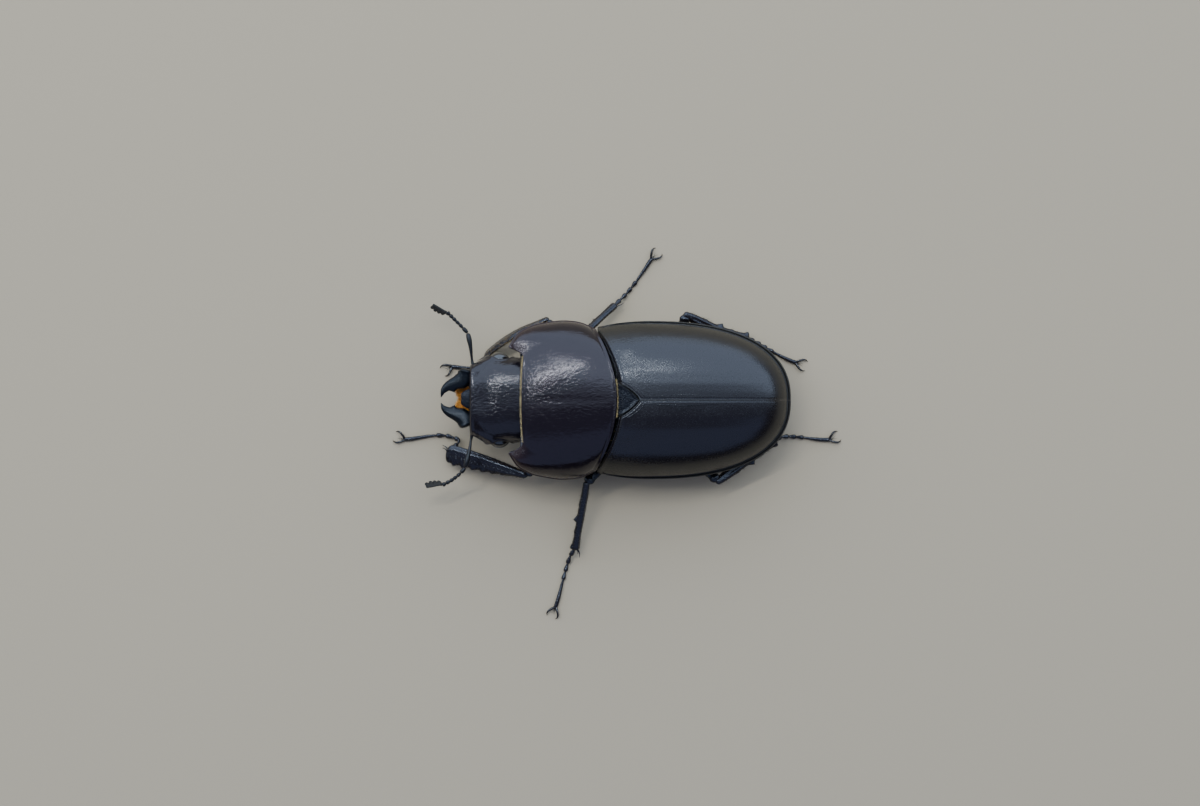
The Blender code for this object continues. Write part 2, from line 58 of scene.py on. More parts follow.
thorax_low, thorax_high = (np.array(corner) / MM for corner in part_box("prothorax"))
ORIGIN = np.array((thorax_high[0], (thorax_low[1] + thorax_high[1]) / 2, 0))
PRONOTUM_LENGTH = 10.3
CORNER_X = thorax_low[0] - ORIGIN[0]
PRONOTUM_HALF_WIDTH = (thorax_high[1] - thorax_low[1]) / 2
PRONOTUM_FRONT_HALF_WIDTH = 5.75
PRONOTUM_REAR_HALF_WIDTH = 7.6
PRONOTUM_FULLNESS = 2.3
PRONOTUM_EDGE_Z = 5.3
PRONOTUM_FRONT_RISE = 3.3
PRONOTUM_REAR_RISE = 4.5
PRONOTUM_TOP_Z = thorax_high[2]
PROSTERNUM_Z = thorax_low[2] + 0.05
REAR_BOW = 0.039
FRONT_LIFT = 2.0
BEAD_HEIGHT = 0.1
ROUNDING = 1 / 2.2


def box_mm(node):
    """The lowest and highest corner of a solid, in millimetres from the waist."""
    low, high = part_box(node)
    return np.array(low) / MM - ORIGIN, np.array(high) / MM - ORIGIN


def middle_and_reach(node):
    """The middle of a solid and its half sizes, in millimetres from the waist."""
    low, high = box_mm(node)
    return (low + high) / 2, (high - low) / 2


def smooth_curve(stations, places):
    """Values on a smooth curve through (place, value) stations, at each of some places."""
    at = np.array([station[0] for station in stations], float)
    values = np.array([station[1] for station in stations], float)
    slopes = np.gradient(values, at, axis=0)
    places = np.clip(np.asarray(places, float), at[0], at[-1])
    i = np.clip(np.searchsorted(at, places, side="right") - 1, 0, len(at) - 2)
    span = at[i + 1] - at[i]
    t = (places - at[i]) / span
    if values.ndim > 1:
        span, t = span[:, None], t[:, None]
    ahead = t * t * (3 - 2 * t)
    blend = values[i] * (1 - ahead) + values[i + 1] * ahead
    return blend + slopes[i] * t * (1 - t) ** 2 * span - slopes[i + 1] * t * t * (1 - t) * span


def unit(vectors):
    """Vectors of length 1, the same way."""
    return vectors / np.linalg.norm(vectors, axis=-1, keepdims=True)


def ease(low, high, value):
    """0 below low, 1 above high, and a smooth step between them."""
    t = np.clip((np.asarray(value, float) - low) / (high - low), 0, 1)
    return t * t * (3 - 2 * t)


def hump(value, centre, width):
    """A rounded ridge of height 1."""
    return np.exp(-(((value - centre) / width) ** 2))


def face_out(points, quads, triangles):
    """A closed body whose faces all point out."""
    corners = np.concatenate([quads[:, [0, 1, 2]], quads[:, [0, 2, 3]], triangles])
    a, b, c = (points[corners[:, k]] for k in range(3))
    if np.einsum("ij,ij->i", a, np.cross(b, c)).sum() < 0:
        return points, quads[:, ::-1], triangles[:, ::-1]
    return points, quads, triangles


def skin(rings):
    """A closed body over a row of rings of points, with a fan of faces over each end."""
    rows, count = rings.shape[:2]
    index = np.arange(rows * count).reshape(rows, count)
    after = np.roll(index, -1, axis=1)
    quads = np.stack([index[:-1], after[:-1], after[1:], index[1:]], axis=-1).reshape(-1, 4)
    points = np.concatenate([rings.reshape(-1, 3), rings[:1].mean(axis=1), rings[-1:].mean(axis=1)])
    middle = np.full(count, rows * count)
    first = np.stack([after[0], index[0], middle], axis=-1)
    last = np.stack([index[-1], after[-1], middle + 1], axis=-1)
    return face_out(points, quads, np.concatenate([first, last]))


def ring_normals(rings):
    """The outward normal at each point of a row of closed rings."""
    around = np.roll(rings, -1, axis=1) - np.roll(rings, 1, axis=1)
    normals = np.cross(around, np.gradient(rings, axis=0))
    normals /= np.maximum(np.linalg.norm(normals, axis=2, keepdims=True), 1e-9)
    outward = rings - rings.mean(axis=1, keepdims=True)
    return normals * np.sign((normals * outward).sum())


def join_bodies(bodies):
    """Several bodies as one."""
    starts = np.cumsum([0] + [len(body[0]) for body in bodies[:-1]])
    points = np.concatenate([body[0] for body in bodies])
    quads, triangles = (
        np.concatenate([body[kind] + start for body, start in zip(bodies, starts)]) for kind in (1, 2)
    )
    return points, quads, triangles


def cast(name, body, finish, slot, replaced=(), **marks):
    """Makes a body a smooth piece that rides on the beetle. Marks are values kept on its points."""
    points, quads, triangles = body
    mesh = bpy.data.meshes.new(name)
    mesh.from_pydata(((points + ORIGIN) * MM).tolist(), [], quads.tolist() + triangles.tolist())
    mesh.polygons.foreach_set("use_smooth", np.ones(len(mesh.polygons), bool))
    mesh.materials.append(finish)
    for mark, values in marks.items():
        held = np.zeros(len(points), np.float32)
        held[: np.size(values)] = np.ravel(values)
        mesh.attributes.new(mark, "FLOAT", "POINT").data.foreach_set("value", held)
    piece = bpy.data.objects.new(name, mesh)
    bpy.context.scene.collection.objects.link(piece)
    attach(piece, "root")
    if replaced:
        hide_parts(*replaced)
    return piece


def new_group(name, inputs, outputs):
    """An empty shader node group with number sockets, and its nodes for what goes in and comes out."""
    group = bpy.data.node_groups.new(name, "ShaderNodeTree")
    for socket_name, value in inputs:
        socket = group.interface.new_socket(socket_name, in_out="INPUT", socket_type="NodeSocketFloat")
        socket.default_value = value
    for socket_name in outputs:
        group.interface.new_socket(socket_name, in_out="OUTPUT", socket_type="NodeSocketFloat")
    return group, group.nodes.new("NodeGroupInput").outputs, group.nodes.new("NodeGroupOutput").inputs


def feed(tree, node, inputs):
    """Gives a shader node its inputs, each a value or the socket that feeds it."""
    for key, value in inputs.items():
        if isinstance(value, bpy.types.NodeSocket):
            tree.links.new(value, node.inputs[key])
        else:
            node.inputs[key].default_value = value


def add(tree, kind, inputs, **settings):
    """A shader node with its settings and its inputs."""
    made = tree.nodes.new(kind)
    for key, value in settings.items():
        setattr(made, key, value)
    feed(tree, made, inputs)
    return made


def sums(tree, operation, *values):
    """The result of one sum on sockets or numbers."""
    return add(tree, "ShaderNodeMath", dict(enumerate(values)), operation=operation).outputs[0]


def blend_colours(tree, factor, first, second):
    """One colour mixed into another."""
    colours = {
        key: value if isinstance(value, bpy.types.NodeSocket) else (*value, 1)
        for key, value in ((6, first), (7, second))
    }
    return add(tree, "ShaderNodeMix", {0: factor, **colours}, data_type="RGBA").outputs[2]


def in_millimetres(tree):
    """The place on the piece in millimetres, for patterns of a real size."""
    place = add(tree, "ShaderNodeTexCoord", {}).outputs["Object"]
    return add(tree, "ShaderNodeVectorMath", {0: place, 3: 1 / MM}, operation="SCALE").outputs[0]


def point_value(tree, name):
    """A value kept on a piece's points."""
    return add(tree, "ShaderNodeAttribute", {}, attribute_name=name).outputs["Fac"]


def bumps(tree, height, reach):
    """The normals of a surface with bumps of some reach in millimetres."""
    return add(tree, "ShaderNodeBump", {"Height": height, "Distance": reach * MM}).outputs[0]


def make_grain():
    """Chitin grain of a real size: round pits, slanting wrinkles and a fine skin, as one height."""
    values = [("Pit Size", 0.2), ("Pit Depth", 1.0), ("Wrinkle Size", 0.4), ("Wrinkle", 0.5), ("Fine", 0.2)]
    group, given, gives = new_group("chitin_grain", values, ["Height", "Pits"])
    place = in_millimetres(group)
    drift = add(group, "ShaderNodeTexNoise", {"Vector": place, "Scale": 2.0, "Detail": 2.0}).outputs["Color"]
    drift = add(group, "ShaderNodeVectorMath", {0: drift, 3: 0.25}, operation="SCALE").outputs[0]
    moved = add(group, "ShaderNodeVectorMath", {0: place, 1: drift}, operation="ADD").outputs[0]
    pit_scale = sums(group, "DIVIDE", 1.0, given["Pit Size"])
    cells = add(group, "ShaderNodeTexVoronoi", {"Vector": moved, "Scale": pit_scale}).outputs["Distance"]
    round_pits = {0: cells, 1: 0.1, 2: 0.48, 3: 1.0, 4: 0.0}
    pits = add(group, "ShaderNodeMapRange", round_pits, interpolation_type="SMOOTHSTEP").outputs[0]
    wrinkle_scale = sums(group, "DIVIDE", 1.0, given["Wrinkle Size"])
    lie = {"Vector": moved, "Rotation": (0, 0, math.radians(-24)), "Scale": (0.7, 1, 1)}
    lie = add(group, "ShaderNodeMapping", lie).outputs[0]
    folds = {"Vector": lie, "Scale": wrinkle_scale, "Detail": 1.0, "Roughness": 0.5, "Distortion": 0.8}
    wrinkles = add(group, "ShaderNodeTexNoise", folds).outputs["Fac"]
    fine = add(group, "ShaderNodeTexNoise", {"Vector": place, "Scale": 14.0, "Detail": 2.0}).outputs["Fac"]
    height = sums(group, "MULTIPLY", sums(group, "MULTIPLY", pits, given["Pit Depth"]), -1.0)
    height = sums(group, "MULTIPLY_ADD", wrinkles, given["Wrinkle"], height)
    height = sums(group, "MULTIPLY_ADD", fine, given["Fine"], height)
    group.links.new(height, gives["Height"])
    group.links.new(pits, gives["Pits"])
    return group


GRAIN = make_grain()


def new_finish(name):
    """A new material, with its node tree and its shader."""
    finish = bpy.data.materials.new(name)
    finish.use_nodes = True
    return finish, finish.node_tree, finish.node_tree.nodes["Principled BSDF"]


def chitin(name, colour, edge_colour, rough, relief, sheen=(1, 1, 1), **grain_values):
    """A hard shell finish with a real grain: one colour on the back and another where the mark "margin" is 1.

    The grain is four times as deep where the mark "coarse" is 1, and sheen tints what the shell reflects.
    """
    finish, tree, shader = new_finish(name)
    grain = add(tree, "ShaderNodeGroup", {}, node_tree=GRAIN)
    for key, value in grain_values.items():
        grain.inputs[key.replace("_", " ").title()].default_value = value
    margin = point_value(tree, "margin")
    clouds = {"Vector": in_millimetres(tree), "Scale": 0.6, "Detail": 4.0}
    clouds = add(tree, "ShaderNodeTexNoise", clouds).outputs["Fac"]
    uneven = sums(tree, "MULTIPLY_ADD", clouds, 0.8, 0.6)
    body = blend_colours(tree, sums(tree, "MULTIPLY", margin, uneven), colour, edge_colour)
    # The pits are painted darker in the base colour, at half the body colour: painted shade in the pits.
    painted_pit_shade = tuple(part * 0.5 for part in colour)
    body = blend_colours(tree, sums(tree, "MULTIPLY", grain.outputs["Pits"], 0.6), body, painted_pit_shade)
    spread = sums(tree, "MULTIPLY_ADD", clouds, 0.12, rough - 0.06)
    spread = sums(tree, "MULTIPLY_ADD", grain.outputs["Pits"], 0.1, spread)
    spread = sums(tree, "MULTIPLY_ADD", margin, 0.2, spread)
    deepened = sums(tree, "MULTIPLY_ADD", point_value(tree, "coarse"), 3.0, 1.0)
    height = sums(tree, "MULTIPLY", grain.outputs["Height"], deepened)
    surface = {"Base Color": body, "Roughness": spread, "Normal": bumps(tree, height, relief)}
    feed(tree, shader, {**surface, "IOR": 1.56, "Specular Tint": (*sheen, 1)})
    return finish


def front_edge_x(y, half_width):
    """The front edge is nearly straight over the head, and swings forwards to a corner at each side."""
    straight = 0.82
    share = np.minimum(np.abs(y) / (0.55 * half_width + 0.45 * PRONOTUM_FRONT_HALF_WIDTH), 1)
    bow = 0.2 * (share / straight) ** 2 - PRONOTUM_LENGTH
    swing = np.clip((share - straight) / (1 - straight), 0, 1)
    return bow + (CORNER_X - bow) * swing**1.5


def arch(share, fullness):
    """Height of a rounded section at a share of its half width, from 1 on the midline to 0 at the edge."""
    return np.clip(1 - np.abs(share) ** fullness, 0, 1) ** ROUNDING


def ring_angles(count, crowding):
    """Angles round a section, from its right edge over the back, closer together at the two edges."""
    turn = np.linspace(0, 2 * math.pi, count, endpoint=False)
    return turn - crowding * np.sin(2 * turn) / 2


def body_rings(x_places, half_widths, edges, tops, bottoms, angles, fullness):
    """Rings of a trunk: a rounded back over an edge at each side, and a flatter belly.

    x_places gives each ring's x, or a function that turns its sideways places into them.
    """
    share = np.cos(angles)
    rings = []
    for x_at, half_width, edge, top, bottom in zip(x_places, half_widths, edges, tops, bottoms):
        y = half_width * share
        above = edge + (top - edge) * arch(share, fullness)
        below = edge - (edge - bottom) * np.clip(1 - np.abs(share) ** 1.6, 0, 1) ** 0.9
        x = x_at(y) if callable(x_at) else np.full_like(y, x_at)
        rings.append(np.stack([x, y, np.where(np.sin(angles) >= 0, above, below)], axis=1))
    return np.array(rings)


def make_pronotum():
    """The shield with its bead, and the breastplate under it with hollows for the front legs."""
    widest = 8.55
    widths = [(0, PRONOTUM_FRONT_HALF_WIDTH), (0.08, 6.95), (0.22, 7.8), (0.45, 8.35), (0.7, widest)]
    widths += [(0.9, 8.2), (1, PRONOTUM_REAR_HALF_WIDTH)]
    tops = [(0, 8.6), (0.25, 9.4), (0.6, PRONOTUM_TOP_Z), (1, 9.8)]
    bottoms = [(0, 3.1), (0.3, PROSTERNUM_Z), (0.7, PROSTERNUM_Z), (1, 2.7)]
    ends = np.linspace(0, 0.06, 14)
    along = np.unique(np.concatenate([ends, np.linspace(0.06, 0.94, 100), 1 - ends]).round(6))
    half_widths = smooth_curve(widths, along) * PRONOTUM_HALF_WIDTH / widest
    x_places = [
        lambda y, u=u, half=half: front_edge_x(y, half) * (1 - u) - REAR_BOW * y * y * u
        for u, half in zip(along, half_widths)
    ]
    angles = ring_angles(280, 0.72)
    edges = PRONOTUM_EDGE_Z + smooth_curve([(0, FRONT_LIFT), (0.25, 0.8), (0.5, 0), (1, 0)], along)
    heights = smooth_curve(tops, along), smooth_curve(bottoms, along)
    rings = body_rings(x_places, half_widths, edges, *heights, angles, PRONOTUM_FULLNESS)

    x, y, z = (rings[:, :, axis] for axis in range(3))
    back = np.sin(angles)[None, :] >= -0.02
    from_side = np.hypot(half_widths[:, None] - np.abs(y), z - edges[:, None])
    from_rear = (1 - along)[:, None] * PRONOTUM_LENGTH
    from_front = along[:, None] * PRONOTUM_LENGTH
    edge = np.minimum(from_side, from_rear)
    over_head = 1 - ease(3.6, 4.8, np.abs(y))
    bead = np.maximum(hump(edge, 0.12, 0.1), 0.5 * hump(from_front, 0.1, 0.1) * over_head)
    groove = np.maximum(0.5 * hump(edge, 0.38, 0.13), 0.25 * hump(from_front, 0.32, 0.12) * over_head)
    relief = bead - groove * (1 - bead)
    midline = ease(0.1, 0.3, along) * (1 - ease(0.75, 0.95, along))
    relief -= 0.2 * hump(y, 0, 0.35) * midline[:, None]
    relief -= 0.5 * hump(x, -4.6, 0.8) * hump(np.abs(y), 5.9, 0.55)
    top_relief = BEAD_HEIGHT * relief
    socket, reach = middle_and_reach("coxa_front_right")
    from_socket = np.hypot((x - socket[0]) / reach[0], (np.abs(y) - socket[1]) / reach[1])
    below = 0.18 * hump(from_socket, 1.25, 0.15) - 0.5 * (1 - ease(0.8, 1.1, from_socket))
    below += 0.22 * hump(y, 0, 0.45) * hump(x, socket[0] + 0.2, 1.9)
    rings += ring_normals(rings) * np.where(back, top_relief, below)[:, :, None]

    rolls = ((0.05, 0.0), (0.12, 0.06), (0.2, 0.2), (0.3, 0.6), (0.5, 1.2), (1.6, 1.3), (3.2, 1.3))
    ends = []
    for ring, way in ((rings[0], 1), (rings[-1], -1)):
        to_heart = np.array((0, 0, 6.0)) - ring
        to_heart[:, 0] = 0
        ends.append([ring + unit(to_heart) * inward + (way * deep, 0, 0) for inward, deep in rolls])
    front, rear = ends
    margin = np.zeros((len(rings) + 2 * len(rolls), len(angles)))
    margin[len(rolls) : -len(rolls)] = np.where(back, 1 - ease(0.2, 2.4, from_side), 0.6)
    finish = chitin(
        "pronotum_chitin", (0.0075, 0.0046, 0.0068), (0.022, 0.0095, 0.0095), 0.11, 0.0095, (0.8, 0.74, 0.77),
        pit_size=0.3, pit_depth=0.15, wrinkle_size=0.26, wrinkle=2.0, fine=0.04,
    )
    body = skin(np.concatenate([front[::-1], rings, rear]))
    cast("pronotum", body, finish, "thorax_shell", ["prothorax"], margin=margin)


make_pronotum()


# ---- Head --------------------------------------------------------------------------------------------------
# One hard capsule, straight in front over the mouth, with a ridge on each cheek that runs back over the eye.
# It is wrinkled and pitted, and its neck is set into the socket in front of the pronotum.

SIDES = (("right", 1), ("left", -1))
EYE_CENTRES = {side: middle_and_reach(f"eye_{side}")[0] for side, sign in SIDES}
EYE_RADII = middle_and_reach("eye_right")[1]
HEAD_FRONT_X = box_mm("head")[0][0]
HEAD_REAR_X = -9.5


def make_head():
    """The capsule, with hollows round the eyes, ridges over them and a dent on the brow."""
    front = HEAD_FRONT_X
    half_widths = [(front, 3.3), (front + 0.04, 3.65), (front + 0.14, 3.82), (front + 0.5, 4.0)]
    half_widths += [(-14.9, 4.32), (-14.2, 4.72), (-13.6, 4.88), (-12.9, 4.74), (-12.0, 4.62)]
    half_widths += [(-10.8, 4.66), (HEAD_REAR_X, 4.45)]
    tops = [(front, 6.0), (front + 0.04, 6.32), (front + 0.14, 6.52), (front + 0.5, 6.77), (-14.9, 7.15)]
    tops += [(-14.2, 7.42), (-12.9, 7.78), (-10.8, 8.02), (HEAD_REAR_X, 7.95)]
    bottoms = [(front, 4.6), (front + 0.06, 4.3), (front + 0.2, 4.0), (front + 0.5, 3.6), (-14.9, 3.2)]
    bottoms += [(-13.6, 2.92), (-12, 2.82), (-10.8, 3.0), (HEAD_REAR_X, 3.5)]
    brow = np.linspace(front, front + 0.5, 18)
    along = np.concatenate([brow[:-1], np.linspace(front + 0.5, HEAD_REAR_X, 120)])
    angles = ring_angles(260, 0.5)
    edges = np.full_like(along, 5.12)
    sizes = smooth_curve(tops, along), smooth_curve(bottoms, along)
    rings = body_rings(along, smooth_curve(half_widths, along), edges, *sizes, angles, 3.2)

    x, y = rings[:, :, 0], rings[:, :, 1]
    back = ease(-0.15, 0.1, np.sin(angles))[None, :]
    relief = -0.08 * back * hump(x, -14.8, 0.8) * hump(y, 0, 2.0)
    relief += 0.04 * back * hump(x, front + 0.22, 0.16) * (1 - ease(2.8, 3.5, np.abs(y)))
    for side, sign in SIDES:
        from_eye = np.linalg.norm((rings - EYE_CENTRES[side]) / EYE_RADII, axis=2)
        relief -= 0.3 * (1 - ease(0.85, 1.2, from_eye)) - 0.1 * hump(from_eye, 1.35, 0.14)
        cheek = ease(-15.9, -15.3, x) * (1 - ease(-13.6, -12.9, x)) * back
        from_ridge = sign * y - 3.45 - 0.5 * (x + 15.6)
        relief += cheek * (0.1 * hump(from_ridge, 0, 0.25) - 0.04 * hump(from_ridge, -0.6, 0.4))
    rings += ring_normals(rings) * relief[:, :, None]
    finish = chitin(
        "head_chitin", (0.0085, 0.0065, 0.009), (0.01, 0.006, 0.006), 0.12, 0.014, (0.78, 0.74, 0.75),
        pit_size=0.34, pit_depth=0.3, wrinkle_size=0.28, wrinkle=2.0, fine=0.04,
    )
    cast("head", skin(rings), finish, "head_shell", ["head"])


make_head()


# ---- Eyes --------------------------------------------------------------------------------------------------
# Two bulging black domes, each of thousands of tiny facets under a clear, very glossy skin. They are seated
# in the hollows behind the cheeks.


def ball(centre, radii, around=48, rows=28):
    """An oval body, round about the X axis."""
    lean = np.linspace(0.04, math.pi - 0.04, rows)
    turn = np.linspace(0, 2 * math.pi, around, endpoint=False)
    x = -np.cos(lean)[:, None] + 0 * turn
    y = np.sin(lean)[:, None] * np.cos(turn)
    z = np.sin(lean)[:, None] * np.sin(turn)
    return skin(np.stack([x, y, z], axis=-1) * radii + centre)


def make_facets():
    """The facets of an eye, as a height."""
    group, given, gives = new_group("eye_facets", [("Facet Size", 0.03)], ["Height"])
    scale = sums(group, "DIVIDE", 1.0, given["Facet Size"])
    cells = {"Vector": in_millimetres(group), "Scale": scale, "Randomness": 0.15}
    cells = add(group, "ShaderNodeTexVoronoi", cells).outputs["Distance"]
    group.links.new(sums(group, "MULTIPLY", cells, -1.0), gives["Height"])
    return group


def make_eyes():
    """The two domes and their finish."""
    finish, tree, shader = new_finish("eye_finish")
    facets = add(tree, "ShaderNodeGroup", {"Facet Size": 0.045}, node_tree=make_facets())
    depth = add(tree, "ShaderNodeTexNoise", {"Vector": in_millimetres(tree), "Scale": 1.5}).outputs["Fac"]
    colour = blend_colours(tree, depth, (0.006, 0.006, 0.008), (0.02, 0.016, 0.014))
    normals = bumps(tree, facets.outputs["Height"], 0.002)
    surface = {"Base Color": colour, "Roughness": 0.12, "Normal": normals}
    feed(tree, shader, {**surface, "Coat Weight": 0.8, "Coat Roughness": 0.04})
    for side, centre in EYE_CENTRES.items():
        cast(f"eye_{side}", ball(centre, EYE_RADII), finish, "eye_gloss", [f"eye_{side}"])


make_eyes()


# ---- Wing cases --------------------------------------------------------------------------------------------
# Two hard, smooth covers over the folded hind wings. Each has a bead along the seam where they meet and round
# the shield in front, a gutter with a rim along its outer side, and a border that turns under the body.

CASE_LENGTH, CASE_HALF_WIDTH, case_top_z = box_mm("elytron_right")[1]
CASE_EDGE_Z = 4.9
CASE_RISE = case_top_z - CASE_EDGE_Z
CASE_WIDEST_X = 3.5
CASE_FRONT_X = 0.36
SHOULDER_X = -1.95
SHIELD_LENGTH = 2.4
SHIELD_HALF_WIDTH = 1.85
SEAM = 0.006
CASE_BOW = 0.044
CASE_BEAD = 0.07
SHOULDER_ROUND = 0.9
OVAL = 2.4


def shield_half_width(x):
    """The shield between the wing cases narrows to a rounded point behind."""
    t = np.clip(np.asarray(x, float) / SHIELD_LENGTH, 0, 1)
    return SHIELD_HALF_WIDTH * (1 - t**1.35) ** 0.8


def shoulder_taper(x):
    """In front of their widest place the wing cases narrow a little."""
    return 1 - 0.06 * (np.maximum(CASE_WIDEST_X - x, 0) / 5.0) ** 2


def case_height(x, y, gutter=0.0):
    """Height of the dome over its edge. A gutter makes it that much shorter and narrower."""
    back = np.clip((x - CASE_WIDEST_X) / (CASE_LENGTH - gutter - CASE_WIDEST_X), 0, 1)
    across = np.abs(y) / ((CASE_HALF_WIDTH - gutter) * shoulder_taper(x))
    return CASE_RISE * shoulder_taper(x) * np.clip(1 - back**OVAL - across**OVAL, 0, 1) ** ROUNDING


def outline(turn, gutter=0.0):
    """Points on the outer edge: along the side for turn under 0, then round to the tail for turn up to 1."""
    x = CASE_WIDEST_X + np.minimum(turn, 0) * (CASE_WIDEST_X - SHOULDER_X)
    angle = np.clip(turn, 0, 1) * math.pi / 2
    x = x + (CASE_LENGTH - gutter - CASE_WIDEST_X) * np.sin(angle) ** (2 / OVAL)
    y = (CASE_HALF_WIDTH - gutter) * shoulder_taper(x) * np.cos(angle) ** (2 / OVAL)
    corner = np.clip((SHOULDER_X + SHOULDER_ROUND - x) / SHOULDER_ROUND, 0, 1)
    return x, y - SHOULDER_ROUND * (1 - np.sqrt(1 - corner**2))


def distance_to(x, y, line):
    """How far places are from a line of points, in plan."""
    least = np.full(x.shape, np.inf)
    for at_x, at_y in zip(*line):
        least = np.minimum(least, (x - at_x) ** 2 + (y - at_y) ** 2)
    return np.sqrt(least)


def make_wing_case(side, sign, finish):
    """One wing case, on lines that fan out from the seam to the outer edge."""
    side_lines = np.linspace(-1, -0.9, 14)[:-1], np.linspace(-0.9, 0, 52)[:-1], np.linspace(0, 0.9, 100)
    turn = np.concatenate([*side_lines, 0.9 + 0.1 * (1 - np.linspace(1, 0, 44)[1:] ** 1.6)])
    gutter = 0.16 + 0.26 * ease(-1, 0.8, turn)
    rim_x, rim_y = outline(turn)
    foot_x, foot_y = outline(turn, gutter)
    foot_x = np.where(turn <= 0, rim_x, foot_x)
    foot_y = np.where(turn <= 0, rim_y - gutter, foot_y)
    stops = [CASE_FRONT_X, CASE_WIDEST_X + 0.4, CASE_LENGTH - 6, CASE_LENGTH - 4.6]
    inner_x = np.interp(turn, [-1, 0, 0.75, 1], stops)
    inner_y = np.where(inner_x < SHIELD_LENGTH, shield_half_width(inner_x) + CASE_BEAD, SEAM)
    foot_y, rim_y = np.maximum(foot_y, SEAM), np.maximum(rim_y, SEAM)

    share = (1 - np.cos(np.linspace(0, math.pi, 110)[:, None])) / 2
    x = inner_x + (foot_x - inner_x) * share
    y = inner_y + (foot_y - inner_y) * share
    bow = CASE_FRONT_X - CASE_BOW * y * y
    straight = CASE_FRONT_X + (x[-1] - CASE_FRONT_X) * ((y - inner_y) / (foot_y - inner_y + 1e-9))
    x = x + (bow - straight) * np.clip(-turn, 0, 1) ** 3 * (share < 1)
    z = CASE_EDGE_Z + case_height(x, y, gutter)
    ramp = np.linspace(0, 1, 12)[1:, None]
    x = np.concatenate([x, foot_x + (rim_x - foot_x) * ramp])
    y = np.concatenate([y, foot_y + (rim_y - foot_y) * ramp])
    rim = (0.05 + 0.28 * gutter) * hump(ramp, 0.72, 0.24)
    z = np.concatenate([z, CASE_EDGE_Z - 0.05 * ramp + rim])

    near = np.linspace(0, 1, 500)
    shield_x = CASE_FRONT_X + (SHIELD_LENGTH - CASE_FRONT_X) * near
    seam_x = SHIELD_LENGTH + (CASE_LENGTH - SHIELD_LENGTH) * near
    seam_y = np.append(shield_half_width(shield_x) + CASE_BEAD, 0 * near + SEAM)
    inner_line = np.append(shield_x, seam_x), seam_y
    from_inner = distance_to(x, y, inner_line)
    from_outer = distance_to(x, y, outline(np.linspace(-0.9, 1, 900)))
    from_front = np.maximum(x - (CASE_FRONT_X - CASE_BOW * y * y), 0)
    relief = 0.03 * hump(from_inner, 0.05, 0.04) - 0.045 * hump(from_inner, 0.14, 0.045)
    relief -= 0.35 * (1 - ease(0, 0.4, from_front)) ** 2
    relief += 0.05 * hump(from_front, 0.45, 0.15)
    relief += 0.1 * hump(x, 0.9, 1.2) * hump(y, 5.9, 0.9) - 0.08 * hump(x, 0.9, 1.1) * hump(y, 4.2, 0.9)
    relief += 0.005 * np.sin(y * 4.6) * ease(0.8, 2, from_inner) * ease(1.2, 2.5, from_outer)
    z = z + relief * ease(-0.01, 0.25, z - CASE_EDGE_Z)
    top = np.stack([x, y * sign, z], axis=-1)

    rows, count = x.shape
    index = np.arange(rows * count).reshape(rows, count)
    quads = np.stack([index[:-1, :-1], index[1:, :-1], index[1:, 1:], index[:-1, 1:]], axis=-1).reshape(-1, 4)
    border = np.concatenate([index[:-1, 0], index[-1, :-1], index[:0:-1, -1], index[0, :0:-1]])
    points = [top.reshape(-1, 3)]
    edge = points[0][border]
    heart = np.array((7.0, 3.9 * sign))
    to_heart = heart - edge[:, :2]
    reach = np.linalg.norm(to_heart, axis=1, keepdims=True)
    loops = [(0.03, -0.06), (0.1, -0.1), (0.25, -0.12), (0.5, -0.08), (0.62, 0.1)]
    for inward, rise in loops:
        points.append(np.column_stack([edge[:, :2] + to_heart * inward / reach, edge[:, 2] + rise]))
    for inward in (0.12, 0.2, 0.32, 0.5, 0.75):
        plan = edge[:, :2] + to_heart * inward
        inside = CASE_EDGE_Z + case_height(plan[:, 0], plan[:, 1], 0.4) - 0.42
        points.append(np.column_stack([plan, np.maximum(inside, CASE_EDGE_Z + 0.1)]))
    starts = rows * count + np.arange(len(points) - 1) * len(border)
    ring = border
    more = []
    for start in starts:
        following = start + np.arange(len(border))
        more.append(np.stack([np.roll(ring, -1), ring, following, np.roll(following, -1)], axis=-1))
        ring = following
    points = np.concatenate(points + [[(*heart, CASE_EDGE_Z + CASE_RISE * 0.8)]])
    middle = np.full(len(border), len(points) - 1)
    fan = np.stack([np.roll(ring, -1), ring, middle], axis=-1)
    margin = 0.95 * (1 - ease(0.4, 2.4, from_outer))
    # The seam and the border round the shield take the pale margin colour in a thin line: a painted highlight
    # on their bead.
    margin += 0.8 * hump(from_inner, 0.04, 0.05) * (1 - ease(12, 16, x))
    coarse = (1 - ease(1.5, 5.0, x)) * ease(0.5, 2.0, from_inner)
    body = face_out(points, np.concatenate([quads] + more), fan)
    cast(f"wing_case_{side}", body, finish, "wing_shell", [f"elytron_{side}"], margin=margin, coarse=coarse)


def make_wing_cases():
    """Both wing cases, in one finish."""
    finish = chitin(
        "wing_case_chitin", (0.006, 0.004, 0.0048), (0.011, 0.008, 0.003), 0.23, 0.005, (0.92, 0.93, 0.97),
        pit_size=0.24, pit_depth=0.25, wrinkle_size=0.2, wrinkle=1.2, fine=0.3,
    )
    for side, sign in SIDES:
        make_wing_case(side, sign, finish)


make_wing_cases()


# ---- Shield ------------------------------------------------------------------------------------------------
# The small plate between the fronts of the wing cases. Its middle is pitted, and its sides are smooth and
# bevelled.


